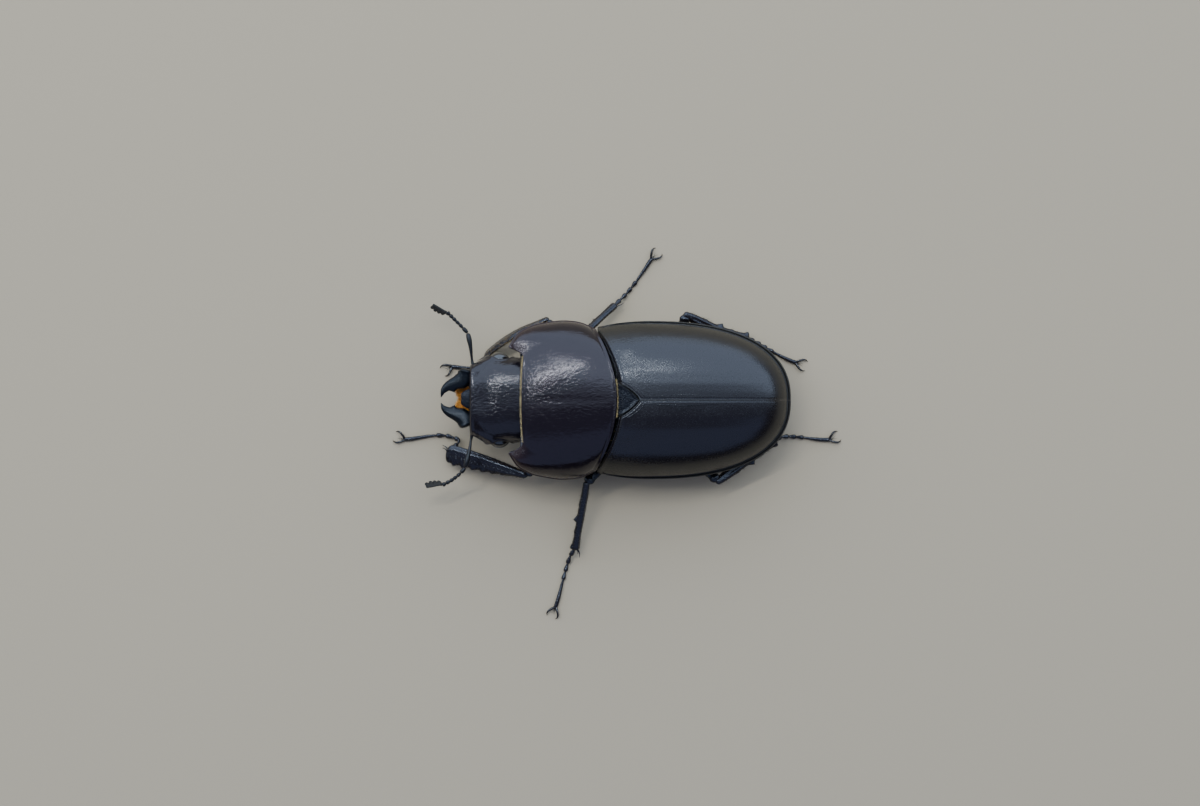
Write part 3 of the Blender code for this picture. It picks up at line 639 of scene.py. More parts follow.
def make_shield():
    """The plate, with a raised smooth border."""
    low, high = box_mm("scutellum")
    along = 1 - np.linspace(0, 1, 50) ** 1.4
    x = np.sort(low[0] + (high[0] - low[0]) * along)
    half = np.maximum(shield_half_width(x) - 0.02, 0.1)
    angles = ring_angles(120, 0.6)
    top = high[2] + 0.03 - 0.25 * hump(x, low[0], 0.25)
    rings = body_rings(x, half, top - 0.2, top, top - 0.75, angles, 3.0)
    from_side = half[:, None] - np.abs(rings[:, :, 1])
    back = np.sin(angles)[None, :] >= 0
    relief = 0.06 * hump(from_side, 0.16, 0.1) - 0.06 * ease(0.25, 0.6, from_side)
    rings[:, :, 2] += relief * back
    smooth_border = (1 - ease(0.1, 0.4, from_side)) * back
    finish = chitin(
        "shield_chitin", (0.004, 0.0036, 0.006), (0.012, 0.011, 0.009), 0.3, 0.05, (0.4, 0.43, 0.47),
        pit_size=0.2, pit_depth=1.4, wrinkle_size=0.4, wrinkle=0.6, fine=0.2,
    )
    cast("shield", skin(rings), finish, "wing_shell", ["scutellum"], margin=smooth_border)


make_shield()


# ---- Hind thorax and abdomen -------------------------------------------------------------------------------
# The hind thorax is a stout box under the wing cases that carries the middle and hind legs. Behind it the
# abdomen shows five plates below, each lapped over the next. All are punctured and finely haired.

BELLY_Z = box_mm("hind_thorax")[0][2]
THORAX_END_X = box_mm("hind_thorax")[1][0]
UNDER_LIFT = 0.9


def under_wings(along, angles):
    """Rings of the body under the wing cases."""
    length = CASE_LENGTH - UNDER_LIFT - 0.25 - CASE_WIDEST_X
    back = np.clip((along - CASE_WIDEST_X) / length, 0, 0.999)
    taper = (1 - back**OVAL) ** ROUNDING * shoulder_taper(along)
    bottoms = [(-0.5, 2.6), (1.5, BELLY_Z), (6.5, BELLY_Z), (12, BELLY_Z + 0.15), (16, 2.8), (18.2, 4.3)]
    half_widths = (CASE_HALF_WIDTH - UNDER_LIFT) * taper
    tops = CASE_EDGE_Z + (CASE_RISE - UNDER_LIFT) * taper
    tops = np.minimum(tops, 7.0 + 3.3 * ease(0.7, 3.4, along))
    edges = np.full_like(along, CASE_EDGE_Z - 0.12)
    return body_rings(along, half_widths, edges, tops, smooth_curve(bottoms, along), angles, 2.4)


def make_hind_thorax(finish):
    """The box, with its middle furrow, the seam between its plates, and hollows for the four legs."""
    angles = ring_angles(220, 0.3)
    along = np.linspace(0.1, THORAX_END_X, 130)
    rings = under_wings(along, angles)
    y = rings[:, :, 1]
    pull = (1 - ease(0.35, 1.9, along))[:, None]
    rings[:, :, 0] -= REAR_BOW * y * y * pull
    x = rings[:, :, 0]
    below = ease(-0.1, 0.1, -np.sin(angles))[None, :]
    relief = -0.16 * hump(y, 0, 0.16) * ease(2.2, 2.8, x)
    relief -= 0.12 * hump(x - 0.06 * y * y * ease(3, 0.5, np.abs(y)), 2.35, 0.1)
    relief += 0.15 * hump(y, 0, 0.7) * hump(x, 0.8, 1.2)
    relief -= 0.1 * hump(np.abs(y), 5.6 - 0.12 * (x - 2), 0.12)
    for pair in ("middle", "hind"):
        centre, reach = middle_and_reach(f"coxa_{pair}_right")
        from_socket = np.hypot((x - centre[0]) / reach[0], (np.abs(y) - centre[1]) / reach[1])
        relief += 0.12 * hump(from_socket, 1.3, 0.14) - 0.45 * (1 - ease(0.8, 1.12, from_socket))
    rings += ring_normals(rings) * (relief * below)[:, :, None]
    cast("hind_thorax", skin(rings), finish, "belly_shell", ["hind_thorax"])


def make_abdomen(finish):
    """The belly plates, each with its rear edge lapped over the next."""
    low, high = box_mm("abdomen")
    angles = ring_angles(200, 0.3)
    along = np.linspace(low[0], high[0], 190)
    rings = under_wings(along, angles)
    x, y = rings[:, :, 0], rings[:, :, 1]
    seams = np.array([low[0] + (high[0] - low[0]) * share for share in (0, 0.27, 0.46, 0.63, 0.79, 1.0)])
    bowed = x + 0.012 * y * y
    plate = np.clip(np.searchsorted(seams, bowed) - 1, 0, len(seams) - 2)
    through = np.clip((bowed - seams[plate]) / (seams[plate + 1] - seams[plate]), 0, 1)
    lap = 0.1 * through**2 * (1 - ease(0.94, 1.0, through)) - 0.08 * (1 - ease(0, 0.08, through))
    below = ease(-0.25, 0.1, -np.sin(angles))[None, :]
    rings += ring_normals(rings) * (lap * below)[:, :, None]
    cast("abdomen", skin(rings), finish, "belly_shell", ["abdomen"])


def make_trunk():
    """Both pieces, in one finish."""
    finish = chitin(
        "belly_chitin", (0.012, 0.0065, 0.005), (0.03, 0.014, 0.008), 0.34, 0.03,
        pit_size=0.32, pit_depth=1.0, wrinkle_size=0.6, wrinkle=0.6, fine=0.25,
    )
    make_hind_thorax(finish)
    make_abdomen(finish)


make_trunk()


# ---- Jaws --------------------------------------------------------------------------------------------------
# Two short, strong mandibles of blue-black horn, seated in the front of the head. Each is thick outside, has
# a cutting edge inside with a large tooth and a small one, and ends in a sharp point.


def mesh_corners(mesh):
    """The corners of a mesh, in metres."""
    corners = np.empty(len(mesh.vertices) * 3, np.float32)
    mesh.vertices.foreach_get("co", corners)
    return corners.reshape(-1, 3).astype(float)


def centre_line(name, near, bend=1, count=9):
    """Points along the middle of a long solid, starting near a place, and the way its broad side faces."""
    corners = np.unique(mesh_corners(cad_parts[name].data).round(7), axis=0) / MM - ORIGIN
    middle = corners.mean(axis=0)
    axes = np.linalg.svd(corners - middle)[2]
    along, across = (corners - middle) @ axes[0], (corners - middle) @ axes[1]
    ends = (middle + axes[0] * end for end in (along.min(), along.max()))
    first, last = (np.linalg.norm(end - near) for end in ends)
    if first > last:
        along = -along
    places = np.linspace(along.min(), along.max(), count)
    line = np.stack([np.polyval(np.polyfit(along, corners[:, k], bend), places) for k in range(3)], axis=1)
    return line, axes[1] * (1 if across.max() > -across.min() else -1)


def smooth_path(controls, shares):
    """Places at shares of the length of a smooth line through a few points."""
    controls = np.array(controls, float)
    steps = np.concatenate([[0], np.cumsum(np.linalg.norm(np.diff(controls, axis=0), axis=1))])
    return smooth_curve(list(zip(steps, controls)), np.asarray(shares) * steps[-1])


def limb(controls, widths, depths, across, count=90, around=32, ends=(0.05, 0.05), form=None, square=1.0):
    """A closed limb along a smooth line, with (share, half size) stations and rounded ends.

    across is the way that its width runs. form gives what is added to the reach of each point, from its share
    of the length and its angle; square under 1 makes the section boxy.
    """
    share = (1 - np.cos(np.linspace(0, math.pi, count))) / 2
    share = 0.5 * share + 0.5 * np.linspace(0, 1, count)
    path = smooth_path(controls, share)
    along = unit(np.gradient(path, axis=0))
    side = unit(across - along * (along @ np.asarray(across))[:, None])
    up = np.cross(side, along)
    angle = np.linspace(0, 2 * math.pi, around, endpoint=False)
    cosine, sine = (np.sign(wave) * np.abs(wave) ** square for wave in (np.cos(angle), np.sin(angle)))
    taper = np.ones(count)
    for reach, place in ((ends[0], share), (ends[1], 1 - share)):
        if reach:
            taper *= np.sqrt(np.clip(1 - (1 - np.minimum(place / reach, 1)) ** 2, 0.0016, 1))
    width = (smooth_curve(widths, share) * taper)[:, None]
    depth = (smooth_curve(depths, share) * taper)[:, None]
    extra = form(share[:, None], angle[None, :]) * taper[:, None] if form else 0 * width
    out = width * cosine + extra * np.cos(angle), depth * sine + extra * np.sin(angle)
    return skin(path[:, None] + side[:, None] * out[0][:, :, None] + up[:, None] * out[1][:, :, None])


def tooth(share, place, height, before, after):
    """A pointed tooth at a share of the length, with its own slope on each side."""
    gap = np.asarray(share) - place
    return height * np.clip(1 - np.where(gap < 0, -gap / before, gap / after), 0, 1) ** 1.25


def make_jaws():
    """The two mandibles."""
    finish = chitin(
        "jaw_horn", (0.0035, 0.0042, 0.006), (0.016, 0.008, 0.006), 0.3, 0.014, (0.36, 0.39, 0.42),
        pit_size=0.14, pit_depth=0.7, wrinkle_size=0.3, wrinkle=0.9, fine=0.2,
    )
    head_front = np.array((HEAD_FRONT_X, 0, 5))
    widths = [(0, 0.96), (0.25, 0.92), (0.5, 0.7), (0.7, 0.5), (0.88, 0.26), (1, 0.03)]
    depths = [(0, 0.8), (0.3, 0.62), (0.7, 0.36), (0.9, 0.2), (1, 0.04)]

    def cutting_edge(share, angle):
        inside = np.clip(np.cos(angle), 0, 1)
        reach = tooth(share, 0.6, 0.34, 0.1, 0.12) + tooth(share, 0.36, 0.1, 0.1, 0.1)
        keel = 0.06 * hump(np.cos(angle), -0.2, 0.25) * np.clip(np.sin(angle), 0, 1)
        return reach * inside**5 + keel * (1 - ease(0.7, 0.95, share))

    for side, sign in SIDES:
        line = centre_line(f"mandible_{side}", head_front + (0, 2.5 * sign, 0), bend=3)[0]
        line[0, 0] += 0.12
        body = limb(
            line, widths, depths, (-0.4, -sign, 0), 110, 48, ends=(0.1, 0), form=cutting_edge, square=0.85
        )
        cast(f"mandible_{side}", body, finish, "jaw_shell", [f"mandible_{side}"])


make_jaws()


# ---- Mouth parts -------------------------------------------------------------------------------------------
# The upper lip is a small pitted plate between the jaws. Below it the soft tongue lobes end in a gold brush,
# with which the beetle laps up sap. A jointed palp stands at each side, and a chin plate closes the mouth.


def jointed(controls, joints, radii, across, overlap=0.06):
    """Little joints in a row along a smooth line. joints says where each ends, and radii its half widths."""
    bodies = []
    start = 0.0
    for end, (near, far) in zip(joints, radii):
        line = smooth_path(controls, np.linspace(max(start - overlap * (end - start), 0), end, 6))
        widths = [(0, near * 0.75), (0.2, near), (0.75, far), (1, far * 0.9)]
        bodies.append(limb(line, widths, widths, across, 26, 18, ends=(0.12, 0.2)))
        start = end
    return join_bodies(bodies)


def make_mouth():
    """The lip, the lobes, the palps and the chin."""
    shell = chitin(
        "mouth_chitin", (0.006, 0.006, 0.009), (0.03, 0.02, 0.015), 0.34, 0.03, (0.3, 0.32, 0.36),
        pit_size=0.18, pit_depth=1.0, wrinkle_size=0.35, wrinkle=0.8, fine=0.2,
    )
    low, high = box_mm("labrum")
    middle_y = (low[1] + high[1]) / 2
    along = low[0] + (high[0] + 0.25 - low[0]) * (1 - np.linspace(1, 0, 40) ** 1.7)
    t = (along - low[0]) / (high[0] - low[0])
    half = 0.3 + 0.75 * np.clip(t, 0, 1) ** 0.45
    middle_z = (low[2] + high[2]) / 2
    thick = 0.1 + 0.2 * np.clip(t, 0, 1) ** 0.5
    angles = ring_angles(90, 0.5)
    rings = body_rings(along, half, 0 * t + middle_z, middle_z + thick, middle_z - thick, angles, 3.0)
    rings[:, :, 0] += 0.12 * hump(rings[:, :, 1], 0, 0.25) * (1 - ease(0, 0.5, t))[:, None]
    rings[:, :, 1] += middle_y
    cast("upper_lip", skin(rings), shell, "head_shell", ["labrum"])

    lobe_finish, tree, shader = new_finish("tongue_lobe")
    mottle = {"Vector": in_millimetres(tree), "Scale": 5.0, "Detail": 4.0}
    mottle = add(tree, "ShaderNodeTexNoise", mottle).outputs["Fac"]
    colour = blend_colours(tree, mottle, (0.3, 0.09, 0.012), (0.6, 0.25, 0.04))
    feed(tree, shader, {"Base Color": colour, "Roughness": 0.6, "Normal": bumps(tree, mottle, 0.05)})
    low, high = box_mm("mouth_brush")
    centre_z = (low[2] + high[2]) / 2
    lobes = []
    for sign in (1, -1):
        line = [(high[0] + 0.2, 0.75 * sign, centre_z), (-16.7, 0.85 * sign, centre_z + 0.05)]
        line.append((low[0] + 0.15, 0.6 * sign, centre_z - 0.05))
        line = np.array(line) + (0, middle_y, 0)
        widths, depths = [(0, 0.45), (0.5, 0.64), (1, 0.56)], [(0, 0.3), (1, 0.26)]
        lobes.append(limb(line, widths, depths, (0, 1, 0), 40, 30, (0.1, 0.3)))
    tongue = [(high[0], middle_y, centre_z - 0.1), (low[0] + 0.4, middle_y, centre_z - 0.05)]
    lobes.append(limb(tongue, [(0, 0.5), (1, 0.6)], [(0, 0.22), (1, 0.2)], (0, 1, 0), 40, 30, (0.1, 0.3)))
    cast("tongue_lobes", join_bodies(lobes), lobe_finish, "mouth_gold", ["mouth_brush"])

    radii = ((0.12, 0.15), (0.11, 0.16), (0.1, 0.15), (0.11, 0.13))
    for side, sign in SIDES:
        line = centre_line(f"palp_{side}", np.array((HEAD_FRONT_X, 2.5 * sign, 4)), bend=2)[0]
        body = jointed(line, (0.16, 0.45, 0.68, 1), radii, (0, 0, 1))
        cast(f"palp_{side}", body, shell, "head_shell", [f"palp_{side}"])

    front, rear = -16.35, -12.9
    x = np.linspace(front, rear, 48)
    half = smooth_curve([(front, 1.7), (-16.1, 2.05), (-14.5, 2.2), (-13.2, 1.9), (rear, 1.6)], x)
    level = smooth_curve([(front, 3.45), (-15.2, 3.1), (-14.0, 2.85), (rear, 2.78)], x)
    rings = body_rings(x, half, level + 0.2, level + 0.5, level, ring_angles(80, 0.4), 3.0)
    cast("chin_plate", skin(rings), shell, "head_shell")


make_mouth()


# ---- Feelers -----------------------------------------------------------------------------------------------
# Each feeler is elbowed: a long curved shaft, a lash of six small joints, and a club of four plates that
# stand out on one side like the teeth of a comb. The plates are felted with hairs too short to see singly.


def make_feelers():
    """Shaft, lash and club on each side of the head."""
    shell = chitin(
        "feeler_chitin", (0.006, 0.005, 0.0055), (0.03, 0.015, 0.01), 0.32, 0.012, (0.5, 0.52, 0.55),
        pit_size=0.12, pit_depth=0.8, wrinkle_size=0.3, wrinkle=0.6, fine=0.2,
    )
    felt = chitin(
        "club_felt", (0.02, 0.0175, 0.015), (0.12, 0.11, 0.08), 0.7, 0.02, (0.5, 0.5, 0.5),
        pit_size=0.05, pit_depth=1.2, wrinkle_size=0.12, wrinkle=0.6, fine=0.5,
    )
    for side, sign in SIDES:
        shaft = centre_line(f"antenna_shaft_{side}", EYE_CENTRES[side], bend=2)[0]
        root = shaft[0] + (0.2, -0.75 * sign, 0.05)
        shaft = np.concatenate([[root], shaft[1:]])
        widths = [(0, 0.17), (0.1, 0.22), (0.17, 0.17), (0.6, 0.21), (0.9, 0.27), (1, 0.2)]
        body = limb(shaft, widths, widths, (1, 0, 0), 90, 24, ends=(0.02, 0.05))
        cast(f"feeler_shaft_{side}", body, shell, "feeler_shell", [f"antenna_shaft_{side}"])
        lash = centre_line(f"antenna_lash_{side}", shaft[-1], bend=2)[0]
        lash = np.concatenate([[shaft[-1] + (lash[0] - shaft[-1]) * 0.1], lash[1:]])
        radii = ((0.19, 0.23), (0.15, 0.21), (0.15, 0.21), (0.16, 0.22), (0.16, 0.23), (0.17, 0.26))
        body = jointed(lash, (0.24, 0.41, 0.56, 0.71, 0.86, 1), radii, (0, 0, 1))
        cast(f"feeler_lash_{side}", body, shell, "feeler_shell", [f"antenna_lash_{side}"])
        club, across = centre_line(f"antenna_club_{side}", lash[-1], bend=2)
        club[0] = lash[-1]
        plates = [limb(club, [(0, 0.14), (0.9, 0.2), (1, 0.14)], [(0, 0.14), (1, 0.16)], across, 30, 16)]
        widths, depths = [(0, 0.18), (0.6, 0.22), (1, 0.18)], [(0, 0.14), (0.6, 0.17), (1, 0.15)]
        for place, reach in ((0.2, 0.62), (0.44, 0.78), (0.68, 0.82), (0.91, 0.7)):
            root = smooth_path(club, [place - 0.1])[0]
            ahead = unit(smooth_path(club, [place])[0] - root)
            out = across * reach
            line = [root - across * 0.05, root + out * 0.3 + ahead * 0.12, root + out + ahead * 0.42]
            plates.append(limb(line, widths, depths, ahead, 30, 20, ends=(0.1, 0.22)))
        cast(f"feeler_club_{side}", join_bodies(plates), felt, "club_felt", [f"antenna_club_{side}"])


make_feelers()


# ---- Legs --------------------------------------------------------------------------------------------------
# Six legs of five parts: a rounded hip in its socket, a small ring, the thigh, the shin with its spines, and
# a foot of five joints that ends in two hooks. The front shins are broad and toothed for digging.

LEG_NAMES = [f"{pair}_{side}" for pair in ("front", "middle", "hind") for side, sign in SIDES]
LEG_LINES = {}
JOINT_OVERLAP = 0.25
FOOT_DROP = 0.1


def toothed(places, blunt):
    """The form of a shin: outer teeth, and ridges along its faces."""

    def form(share, angle):
        outside = np.clip(np.cos(angle), 0, 1)
        reach = sum(tooth(share, place, height, 0.085, 0.035) for place, height in places)
        ridges = 0.035 * np.cos(angle * 6) * (1 - outside) * ease(0.05, 0.2, share)
        return reach * outside**blunt + ridges

    return form


def make_shin(name, knee, shell):
    """The shin with its teeth, and the spurs at its end."""
    line, across = centre_line(f"tibia_{name}", middle_and_reach(f"femur_{name}")[0], bend=2)
    along = unit(line[-1] - knee)
    line[0] = knee - along * JOINT_OVERLAP
    across = unit(across - along * (along @ across))
    if name.startswith("front"):
        widths = [(0, 0.34), (0.1, 0.46), (0.4, 0.78), (0.8, 0.98), (1, 0.95)]
        depths = [(0, 0.32), (0.2, 0.36), (0.6, 0.32), (1, 0.28)]
        places = [(0.3, 0.1), (0.42, 0.15), (0.54, 0.2), (0.66, 0.24), (0.78, 0.28), (0.89, 0.32)]
        places.append((0.985, 0.28))
        form, ends = toothed(places, 7), (0.05, 0.07)
    else:
        knee_end, middle, end = (0.48, 0.5, 0.54) if name.startswith("hind") else (0.38, 0.4, 0.48)
        widths = [(0, 0.36), (0.12, knee_end), (0.5, middle), (0.85, middle), (1, end)]
        depths = [(0, 0.3), (0.12, 0.34), (0.7, 0.32), (1, 0.35)]
        form, ends = toothed([(0.34, 0.06), (0.57, 0.36), (0.74, 0.08), (0.985, 0.26)], 9), (0.04, 0.05)
    bodies = [limb(line, widths, depths, across, 170, 44, ends, form, square=0.9)]
    up = np.cross(across, along)
    for lean, aside, length in ((-0.55, 0.18, 0.85), (-0.35, -0.16, 0.6)):
        start = line[-1] - along * 0.12 + across * lean * 0.6 + up * aside * 0.6
        tip = start + along * length + across * lean * 0.5 + up * aside * 0.5
        spur = [start, (start + tip) / 2 + across * lean * 0.18, tip]
        bodies.append(limb(spur, [(0, 0.09), (1, 0.015)], [(0, 0.07), (1, 0.015)], across, 26, 12, (0, 0)))
    cast(f"shin_{name}", join_bodies(bodies), shell, "leg_shell", [f"tibia_{name}"])
    return line, across


def make_thigh(name, shell):
    """The hip, the ring between it and the thigh, and the thigh with its knee."""
    centre, radii = middle_and_reach(f"coxa_{name}")
    hip = ball((0, 0, 0), radii, 56, 36)
    points = hip[0]
    points *= 1 + 0.03 * np.cos(points[:, [1]] / radii[1] * 5)
    cast(f"hip_{name}", (points + centre, *hip[1:]), shell, "leg_shell", [f"coxa_{name}"])

    line, across = centre_line(f"femur_{name}", centre)
    along = unit(line[-1] - line[0])
    line = np.concatenate([[line[0] - along * 0.35], line[1:-1], [line[-1] + along * 0.12]])
    widths = [(0, 0.4), (0.15, 0.62), (0.4, 0.78), (0.72, 0.7), (0.9, 0.56), (1, 0.5)]
    depths = [(0, 0.36), (0.15, 0.46), (0.4, 0.54), (0.75, 0.46), (1, 0.36)]

    def knee_groove(share, angle):
        flat = -0.05 * hump(np.sin(angle), -1, 0.5) * ease(0.3, 0.6, share)
        return flat + 0.05 * hump(share, 0.93, 0.035) - 0.03 * hump(share, 0.86, 0.03)

    bodies = [limb(line, widths, depths, across, 120, 40, (0.05, 0.07), knee_groove)]
    ring_line = [line[0] - along * 0.3 - (0, 0, 0.1), line[0] + along * 0.55]
    widths, depths = [(0, 0.4), (0.5, 0.52), (1, 0.3)], [(0, 0.36), (1, 0.4)]
    bodies.append(limb(ring_line, widths, depths, across, 30, 28, (0.3, 0.3)))
    cast(f"thigh_{name}", join_bodies(bodies), shell, "leg_shell", [f"femur_{name}"])
    return line


def make_foot(name, shin, shell, claw_finish):
    """Four short joints and a long one, rooted in the shin, then two hooks with a bristled pad between."""
    line = centre_line(f"tarsus_{name}", shin[-1], bend=3, count=14)[0]
    line[:, 2] -= FOOT_DROP * ease(0, 0.35, np.linspace(0, 1, len(line)))
    line[0] = shin[-1] + unit(shin[0] - shin[-1]) * JOINT_OVERLAP
    line[:, 2] = np.maximum(line[:, 2], 0.19)
    joints = (0.16, 0.3, 0.43, 0.56, 1)
    radii = ((0.15, 0.27), (0.13, 0.26), (0.13, 0.25), (0.13, 0.25))
    body = join_bodies([
        jointed(line, joints[:4], radii, (0, 0, 1)),
        limb(
            smooth_path(line, np.linspace(0.54, 1, 8)), [(0, 0.12), (0.3, 0.16), (0.75, 0.23), (1, 0.24)],
            [(0, 0.12), (0.75, 0.22), (1, 0.23)], (0, 0, 1), 60, 22, ends=(0.04, 0.08),
        ),
    ])
    body[0][:, 2] = np.maximum(body[0][:, 2], 0.0)
    cast(f"foot_{name}", body, shell, "leg_shell", [f"tarsus_{name}"])

    heel = line[-1]
    ahead = unit((middle_and_reach(f"claws_{name}")[0] - heel) * (1, 1, 0))
    beside = np.array((-ahead[1], ahead[0], 0))
    hooks = []
    hook_steps = [(-0.1, 0.04, 0), (0.3, 0.38, 0.12), (0.7, 0.6, 0.12), (1.05, 0.56, -0.1)]
    hook_steps.append((1.15, 0.46, -0.16))
    hook_sizes = [(0, 0.13), (0.3, 0.13), (0.7, 0.09), (1, 0.012)]
    bristle_steps, bristle_sizes = ((0.3, 0, 0), (0.5, 0.06, 0), (0.72, 0.2, 0)), [(0, 0.02), (1, 0.006)]
    for sign in (1, -1):
        hook, bristle = (
            [heel + ahead * step[0] + beside * sign * step[1] + (0, 0, step[2]) for step in steps]
            for steps in (hook_steps, bristle_steps)
        )
        hooks.append(limb(hook, hook_sizes, hook_sizes, (0, 0, 1), 44, 16, ends=(0.02, 0)))
        hooks.append(limb(bristle, bristle_sizes, bristle_sizes, (0, 0, 1), 14, 8, (0, 0)))
    pad = [heel - ahead * 0.05, heel + ahead * 0.34]
    hooks.append(limb(pad, [(0, 0.06), (1, 0.05)], [(0, 0.06), (1, 0.05)], (0, 0, 1), 16, 12, (0.1, 0.2)))
    body = join_bodies(hooks)
    body[0][:, 2] = np.maximum(body[0][:, 2], 0.0)
    cast(f"claws_{name}", body, claw_finish, "claw_horn", [f"claws_{name}"])
    return line


def make_legs():
    """All six legs."""
    thigh_shell = chitin(
        "thigh_chitin", (0.006, 0.005, 0.006), (0.03, 0.01, 0.008), 0.25, 0.012, (0.75, 0.8, 0.9),
        pit_size=0.22, pit_depth=0.8, wrinkle_size=0.5, wrinkle=0.6, fine=0.2,
    )
    shin_shell = chitin(
        "shin_chitin", (0.008, 0.005, 0.0055), (0.03, 0.01, 0.008), 0.24, 0.016, (0.75, 0.8, 0.9),
        pit_size=0.2, pit_depth=0.9, wrinkle_size=0.4, wrinkle=0.8, fine=0.2,
    )
    claw_finish = chitin(
        "claw_horn", (0.008, 0.0045, 0.004), (0.03, 0.01, 0.006), 0.2, 0.004,
        pit_size=0.1, pit_depth=0.3, wrinkle_size=0.2, wrinkle=0.5, fine=0.1,
    )
    for name in LEG_NAMES:
        thigh = make_thigh(name, thigh_shell)
        shin, edge_way = make_shin(name, thigh[-1], shin_shell)
        LEG_LINES[name] = thigh, shin, edge_way, make_foot(name, shin, shin_shell, claw_finish)


make_legs()


# ---- Hair --------------------------------------------------------------------------------------------------
# Fine stiff hairs, each rooted in a pit of the shell. Gold fringes seal the joints in front of and behind the
# pronotum, the tongue lobes end in an orange brush, and the belly, legs and feelers carry short bristles.

UV_PATCH = 0.003
HAIR_DROOP = 0.12


def hair_finish(name, root_colour, tip_colour, rough):
    """Hair that changes colour along its length, and a little from one to the next."""
    finish, tree, shader = new_finish(name)
    each = add(tree, "ShaderNodeTexNoise", {"Vector": in_millimetres(tree), "Scale": 9.0}).outputs["Fac"]
    varied = sums(tree, "MULTIPLY_ADD", each, 0.8, -0.25)
    ripe = sums(tree, "MULTIPLY_ADD", point_value(tree, "along"), 0.7, varied)
    colour = blend_colours(tree, ripe, root_colour, tip_colour)
    spread = sums(tree, "MULTIPLY_ADD", each, 0.3, rough - 0.15)
    feed(tree, shader, {"Base Color": colour, "Roughness": spread})
    return finish


def unwrapped(roots, skin_name):
    """Where roots lie on their skin rolled out flat: the share of its length, and of a turn round it."""
    corners = mesh_corners(bpy.data.objects[skin_name].data) / MM - ORIGIN
    middle = corners.mean(axis=0)
    axes = np.linalg.svd(corners - middle, full_matrices=False)[2]
    along, aside, up = ((roots - middle) @ axis[:, None] for axis in axes)
    length = np.ptp((corners - middle) @ axes[0])
    places = np.hstack([along / length + 0.5, np.arctan2(up, aside) / (2 * math.pi) + 0.5])
    return np.clip(places, 0.005, 0.99)


def skin_roots(skin_name, count, chance, wanted):
    """Random roots on a skin and its normals there, as likely as wanted(places, normals) says."""
    faces = bpy.data.objects[skin_name].data.polygons
    centres, normals = np.empty(len(faces) * 3, np.float32), np.empty(len(faces) * 3, np.float32)
    areas = np.empty(len(faces), np.float32)
    faces.foreach_get("center", centres)
    faces.foreach_get("normal", normals)
    faces.foreach_get("area", areas)
    centres = centres.reshape(-1, 3).astype(float) / MM - ORIGIN
    normals = normals.reshape(-1, 3).astype(float)
    weight = areas.astype(float) * wanted(centres, normals)
    picked = chance.choice(len(faces), count, p=weight / weight.sum())
    shift = chance.uniform(-0.4, 0.4, (count, 3)) * np.sqrt(areas[picked])[:, None] / MM
    shift -= normals[picked] * (shift * normals[picked]).sum(axis=1, keepdims=True)
    return centres[picked] + shift - normals[picked] * 0.02, normals[picked]


def coat(name, patches, width, finish, slot):
    """A coat of tapered hairs. Each patch is (skin, roots, ways, lengths).

    The tips droop a little, and no hair goes under the floor.
    """
    roots = np.concatenate([patch[1] for patch in patches])
    ways = np.concatenate([patch[2] for patch in patches])
    lengths = np.concatenate([patch[3] for patch in patches])[:, None]
    places = [unwrapped(patch[1], patch[0]) for patch in patches]
    cells = len(patches)
    places = np.concatenate([place * (1 / cells, 1) + (k / cells, 0) for k, place in enumerate(places)])
    ways = unit(ways)
    side = unit(np.cross(ways, (0.3, 0.2, 0.93)))
    up = np.cross(side, ways)
    steps = (0.0, 0.35, 0.72)
    points, spots = [], []
    for step in steps:
        for corner in range(3):
            turn = 2 * math.pi * corner / 3
            reach = width * (1 - 0.75 * step)
            middle = roots + ways * lengths * step - lengths * (0, 0, HAIR_DROOP * step * step)
            points.append(middle + (side * math.cos(turn) + up * math.sin(turn)) * reach)
            spots.append(places + (UV_PATCH * step, UV_PATCH * corner / 2))
    points.append(roots + ways * lengths - lengths * (0, 0, HAIR_DROOP))
    spots.append(places + (UV_PATCH, UV_PATCH / 2))
    for row in points:
        row[:, 2] = np.maximum(row[:, 2], 0.0)
    tip = len(steps) * 3
    quads, triangles = [], [(2, 1, 0)]
    for corner in range(3):
        after = (corner + 1) % 3
        quads += [(row + corner, row + after, row + 3 + after, row + 3 + corner) for row in (0, 3)]
        triangles.append((tip - 3 + corner, tip - 3 + after, tip))
    count = len(roots)
    start = np.arange(count)[:, None, None] * (tip + 1)
    quads, triangles = (start + quads).reshape(-1, 4), (start + triangles).reshape(-1, 3)
    along = np.tile(np.append(np.repeat(steps, 3), 1.0), count)
    body = face_out(np.stack(points, axis=1).reshape(-1, 3), quads, triangles)
    piece = cast(name, body, finish, slot, along=along)
    layer = piece.data.uv_layers.new(name="OFBake")
    corners = np.empty(len(piece.data.loops), np.int32)
    piece.data.loops.foreach_get("vertex_index", corners)
    layer.data.foreach_set("uv", np.stack(spots, axis=1).reshape(-1, 2)[corners].ravel().astype(np.float32))


